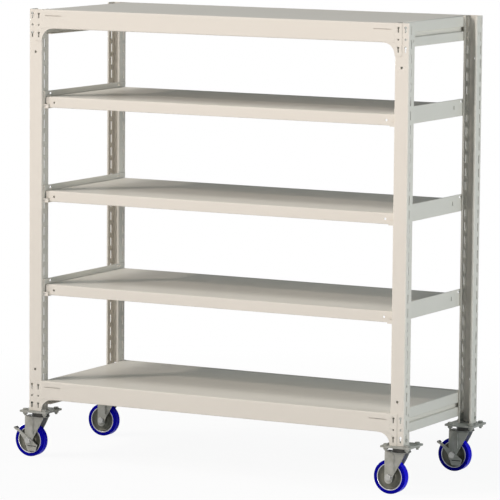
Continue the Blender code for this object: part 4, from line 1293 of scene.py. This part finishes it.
def lever_shape():
    """The brake lever about the axle: a side plate whose tab crosses over the tyre."""
    outline = [(x * PEDAL_REACH, z * PEDAL_REACH) for x, z in LEVER_OUTLINE_SHARES]
    hole = ring(0, 0, AXLE_RADIUS + AXLE_HOLE_CLEARANCE, HOLE_SIDES * 2)
    inner = LEVER_FACE
    outer = inner - LEVER_SHEET
    lever = slab("lever_shape", [rounded(outline, LEVER_CORNER), hole], outer, inner, "Y")
    step_bottom = -LEVER_STEP_DROP - LEVER_STEP_RISE
    step_low = (-LEVER_STEP_BEHIND, outer - OVERRUN, step_bottom)
    step_high = (LEVER_STEP_AHEAD, outer + LEVER_STEP_DEPTH, -LEVER_STEP_DROP)
    cut(lever, block("lever_step", step_low, step_high))
    half_depth = PEDAL_TAB_DEPTH / 2
    low = (-half_depth, outer + WELD_STEP, -LEVER_SHEET / 2)
    high = (half_depth, inner + PEDAL_LENGTH, LEVER_SHEET / 2)
    tab = block("lever_tab", low, high)
    tab.data.transform(pedal_basis())
    # The faces of the step get the near-black race finish, as painted shade in the step.
    mesh = finished(join(lever, tab), "zinc", "race")
    low = (-LEVER_STEP_BEHIND, outer + EDGE, step_bottom)
    paint_shade(mesh, low, (LEVER_STEP_AHEAD, inner - EDGE, -LEVER_STEP_DROP))
    return mesh


def pedal_shape():
    """The brake's foot pad, a ribbed sleeve over the lever's tab."""
    inner = LEVER_FACE + TOUCH_GAP
    outer = LEVER_FACE + PEDAL_LENGTH + PEDAL_OVERHANG
    half_depth = PEDAL_DEPTH / 2
    half_rise = PEDAL_THICKNESS / 2
    outline = box_outline(0, 0, PEDAL_DEPTH, PEDAL_THICKNESS, PEDAL_CORNER)
    pad = slab("pedal_shape", [outline], inner, outer, "Y")
    pitch = (outer - inner) / (PEDAL_GROOVES + 1)
    for index in range(PEDAL_GROOVES):
        middle = inner + pitch * (index + 1)
        low = (-half_depth - OVERRUN, middle - pitch / 4, half_rise - PEDAL_GROOVE_DEPTH)
        high = (half_depth + OVERRUN, middle + pitch / 4, half_rise + OVERRUN)
        cut(pad, block("pedal_groove", low, high))
    pocket_depth = PEDAL_TAB_DEPTH / 2 + TOUCH_GAP
    pocket_rise = LEVER_SHEET / 2 + TOUCH_GAP
    low = (-pocket_depth, inner - OVERRUN, -pocket_rise)
    high = (pocket_depth, LEVER_FACE + PEDAL_LENGTH + TOUCH_GAP, pocket_rise)
    mesh = finished(cut(pad, block("pedal_pocket", low, high)), "pedal")
    mesh.transform(pedal_basis())
    return mesh


def build_rack():
    """Posts, beams and side beams."""
    posts = {outer: post_shape(outer) for outer in (-1, 1)}
    beam = beam_shape()
    side_beam = side_beam_shape()
    for end, (y_sign, turn) in ENDS.items():
        for side, (x_sign, _) in SIDES.items():
            place = RACK + Vector((x_sign * POST_CENTRE_X, y_sign * WEB_FACE, 0))
            piece(f"post_{end}_{side}", posts[-x_sign * y_sign], "rack", place, turn)
    for level, height in {"top": POST_HEIGHT, "bottom": LOWER_DECK_HEIGHT}.items():
        for end, (y_sign, turn) in ENDS.items():
            place = RACK + Vector((0, y_sign * WEB_FACE, height))
            piece(f"beam_{level}_{end}", beam, "rack", place, turn)
        for side, (x_sign, turn) in SIDES.items():
            place = RACK + Vector((x_sign * BAY_HALF_WIDTH, 0, side_beam_top(height)))
            piece(f"side_beam_{level}_{side}", side_beam, "rack", place, turn)


def build_shelves():
    """The top and bottom shelves between the beams, and three more on side rails."""
    end_depth = WEB_FACE - BEAM_TOP_RETURN - TOUCH_GAP
    end_tray = tray_shape(BAY_HALF_WIDTH - TOUCH_GAP, end_depth, holes=False)
    for name in ("shelf_top", "shelf_bottom"):
        place = Vector((RACK.x, 0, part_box(name)[1].z))
        piece(name, end_tray, "rack", place)
    shelf = tray_shape(BAY_HALF_WIDTH - SHELF_END_INSET, WEB_FACE - SHELF_FRONT_INSET, holes=True)
    rail = rail_shape()
    for level in ("upper", "middle", "lower"):
        place = Vector((RACK.x, 0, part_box(f"shelf_{level}")[1].z))
        piece(f"shelf_{level}", shelf, "rack", place)
        for side, (x_sign, turn) in SIDES.items():
            end = place + Vector((x_sign * BAY_HALF_WIDTH, 0, 0))
            piece(f"side_rail_{level}_{side}", rail, "rack", end, turn)


def build_casters():
    """Four swivel casters with their foot brackets. Two of them have a brake."""
    plate = plate_shape()
    fork = fork_shape()
    hub = hub_shape()
    tyre = tyre_shape()
    lever = lever_shape()
    pedal = pedal_shape()
    lever_grip = LEVER_SHEET + TOUCH_GAP
    axles = {False: axle_shape(0), True: axle_shape(lever_grip)}
    brackets = {outer: bracket_shape(outer) for outer in (-1, 1)}
    for end, (y_sign, turn) in ENDS.items():
        for side, (x_sign, _) in SIDES.items():
            corner = f"{end}_{side}"
            low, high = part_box(f"caster_plate_{corner}")
            swivel = Vector(((low.x + high.x) / 2, (low.y + high.y) / 2, FOOT.z))
            spindle = sum(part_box(f"tyre_{corner}"), Vector()) / 2
            bracket = brackets[-x_sign * y_sign]
            piece(f"foot_bracket_{corner}", bracket, "rack", swivel, turn)
            piece(f"caster_plate_{corner}", plate, "rack", swivel)
            piece(f"fork_{corner}", fork, f"fork_{corner}", swivel)
            braked = f"brake_{corner}" in frame["bodies"]
            piece(f"axle_{corner}", axles[braked], f"fork_{corner}", spindle)
            piece(f"hub_{corner}", hub, f"wheel_{corner}", spindle)
            piece(f"tyre_{corner}", tyre, f"wheel_{corner}", spindle)
            if braked:
                piece(f"brake_lever_{corner}", lever, f"brake_{corner}", spindle)
                piece(f"brake_pedal_{corner}", pedal, f"brake_{corner}", spindle)


def seen_directly(finish):
    """1 for what is seen straight, in a reflection or through something, and 0 for plain light."""
    plain = 1
    for kind in ("Camera", "Glossy", "Transmission"):
        plain = plain * (1 - finish.node("ShaderNodeLightPath", output=f"Is {kind} Ray"))
    return 1 - plain


def build_world():
    """Even pale light, with a white background."""
    finish = Finish(bpy.data.worlds.new("studio_world"))
    bpy.context.scene.world = finish.holder
    background = finish.nodes["Background"]
    seen = seen_directly(finish)
    finish.feed(background.inputs["Color"], finish.blend(seen, AMBIENT_COLOUR, WHITE))
    finish.feed(background.inputs["Strength"], AMBIENT + (1 - AMBIENT) * seen)


def floor_finish():
    """A pale floor, white to the camera far out, that keeps the object's shadow around it."""
    finish = new_finish("studio_floor")
    length = {"operation": "LENGTH"}
    distance = finish.node("ShaderNodeVectorMath", length, {0: finish.place()}, "Value")
    span = {"From Min": SHADOW_REACH, "From Max": WHITE_FROM, "To Min": FLOOR_WHITENESS}
    whiteness = finish.node("ShaderNodeMapRange", None, {"Value": distance, **span})
    matt = finish.node("ShaderNodeBsdfDiffuse", None, {"Color": FLOOR_COLOUR})
    white = finish.node("ShaderNodeEmission", None, {"Color": WHITE, "Strength": 1.0})
    mask = seen_directly(finish) * whiteness
    surface = finish.node("ShaderNodeMixShader", None, {0: mask, 1: matt, 2: white})
    finish.links.new(surface.output, finish.nodes["Material Output"].inputs["Surface"])
    return finish.holder


def build_floor():
    half = FLOOR_SIZE / 2
    mesh = bpy.data.meshes.new("studio_floor")
    corners = [(x, y, 0) for x, y in rectangle(-half, -half, half, half)]
    mesh.from_pydata(corners, [], [range(len(corners))])
    mesh.materials.append(floor_finish())
    floor = bpy.data.objects.new("studio_floor", mesh)
    bpy.context.scene.collection.objects.link(floor)


def new_lamp(name, kind, place, energy, colour):
    """A lamp that points at the middle of the rack."""
    lamp = bpy.data.lights.new(name, kind)
    lamp.energy = energy
    lamp.color = colour
    holder = bpy.data.objects.new(name, lamp)
    holder.location = place
    aim = Vector(LAMP_AIM) - Vector(place)
    holder.rotation_euler = aim.to_track_quat("-Z", "Y").to_euler()
    bpy.context.scene.collection.objects.link(holder)
    return lamp


def build_lamps():
    """Two suns, square to the front and down onto the shelves, and soft lamps around the rack."""
    for name, (place, strength, colour) in SUNS.items():
        new_lamp(name, "SUN", place, strength, colour).angle = SUN_SPREAD
    for name, (place, size, watts, colour) in LAMPS.items():
        lamp = new_lamp(name, "AREA", place, watts, colour)
        lamp.shape = "RECTANGLE"
        lamp.size, lamp.size_y = size


def build_camera():
    """The photograph's viewpoint, from its own yaw, pitch and roll."""
    level = math.cos(CAMERA_PITCH)
    ahead = Vector(
        (-math.sin(CAMERA_YAW) * level, math.cos(CAMERA_YAW) * level, -math.sin(CAMERA_PITCH))
    )
    flat_right = Vector((math.cos(CAMERA_YAW), math.sin(CAMERA_YAW), 0))
    flat_up = flat_right.cross(ahead)
    right = math.cos(CAMERA_ROLL) * flat_right + math.sin(CAMERA_ROLL) * flat_up
    up = math.cos(CAMERA_ROLL) * flat_up - math.sin(CAMERA_ROLL) * flat_right
    data = bpy.data.cameras.new("camera")
    data.sensor_width = SENSOR_MM
    data.lens = SENSOR_MM * FOCAL_PIXELS / IMAGE_PIXELS
    camera = bpy.data.objects.new("camera", data)
    basis = Matrix((right, up, -ahead)).transposed().to_4x4()
    camera.matrix_world = Matrix.Translation(RACK + Vector(CAMERA_PLACE)) @ basis
    bpy.context.scene.collection.objects.link(camera)
    bpy.context.scene.camera = camera


workbench = bpy.data.collections.new("workbench")
bpy.context.scene.collection.children.link(workbench)
materials = {
    "paint": ivory_paint(),
    "zinc": zinc_plating(),
    "bolt": bolt_steel(),
    "hub": cast_hub(),
    "rim": rim_painted_highlight(),
    "race": painted_shade_steel(),
    # race: near-black steel used as painted shade under the caster plate, in the fork's crease and
    # in the lever's step
    "tyre": blue_tyre(),
    "pedal": pedal_rubber(),
}
bpy.context.scene.view_settings.view_transform = "Standard"
build_camera()
build_world()
build_floor()
build_lamps()
build_rack()
build_shelves()
build_casters()
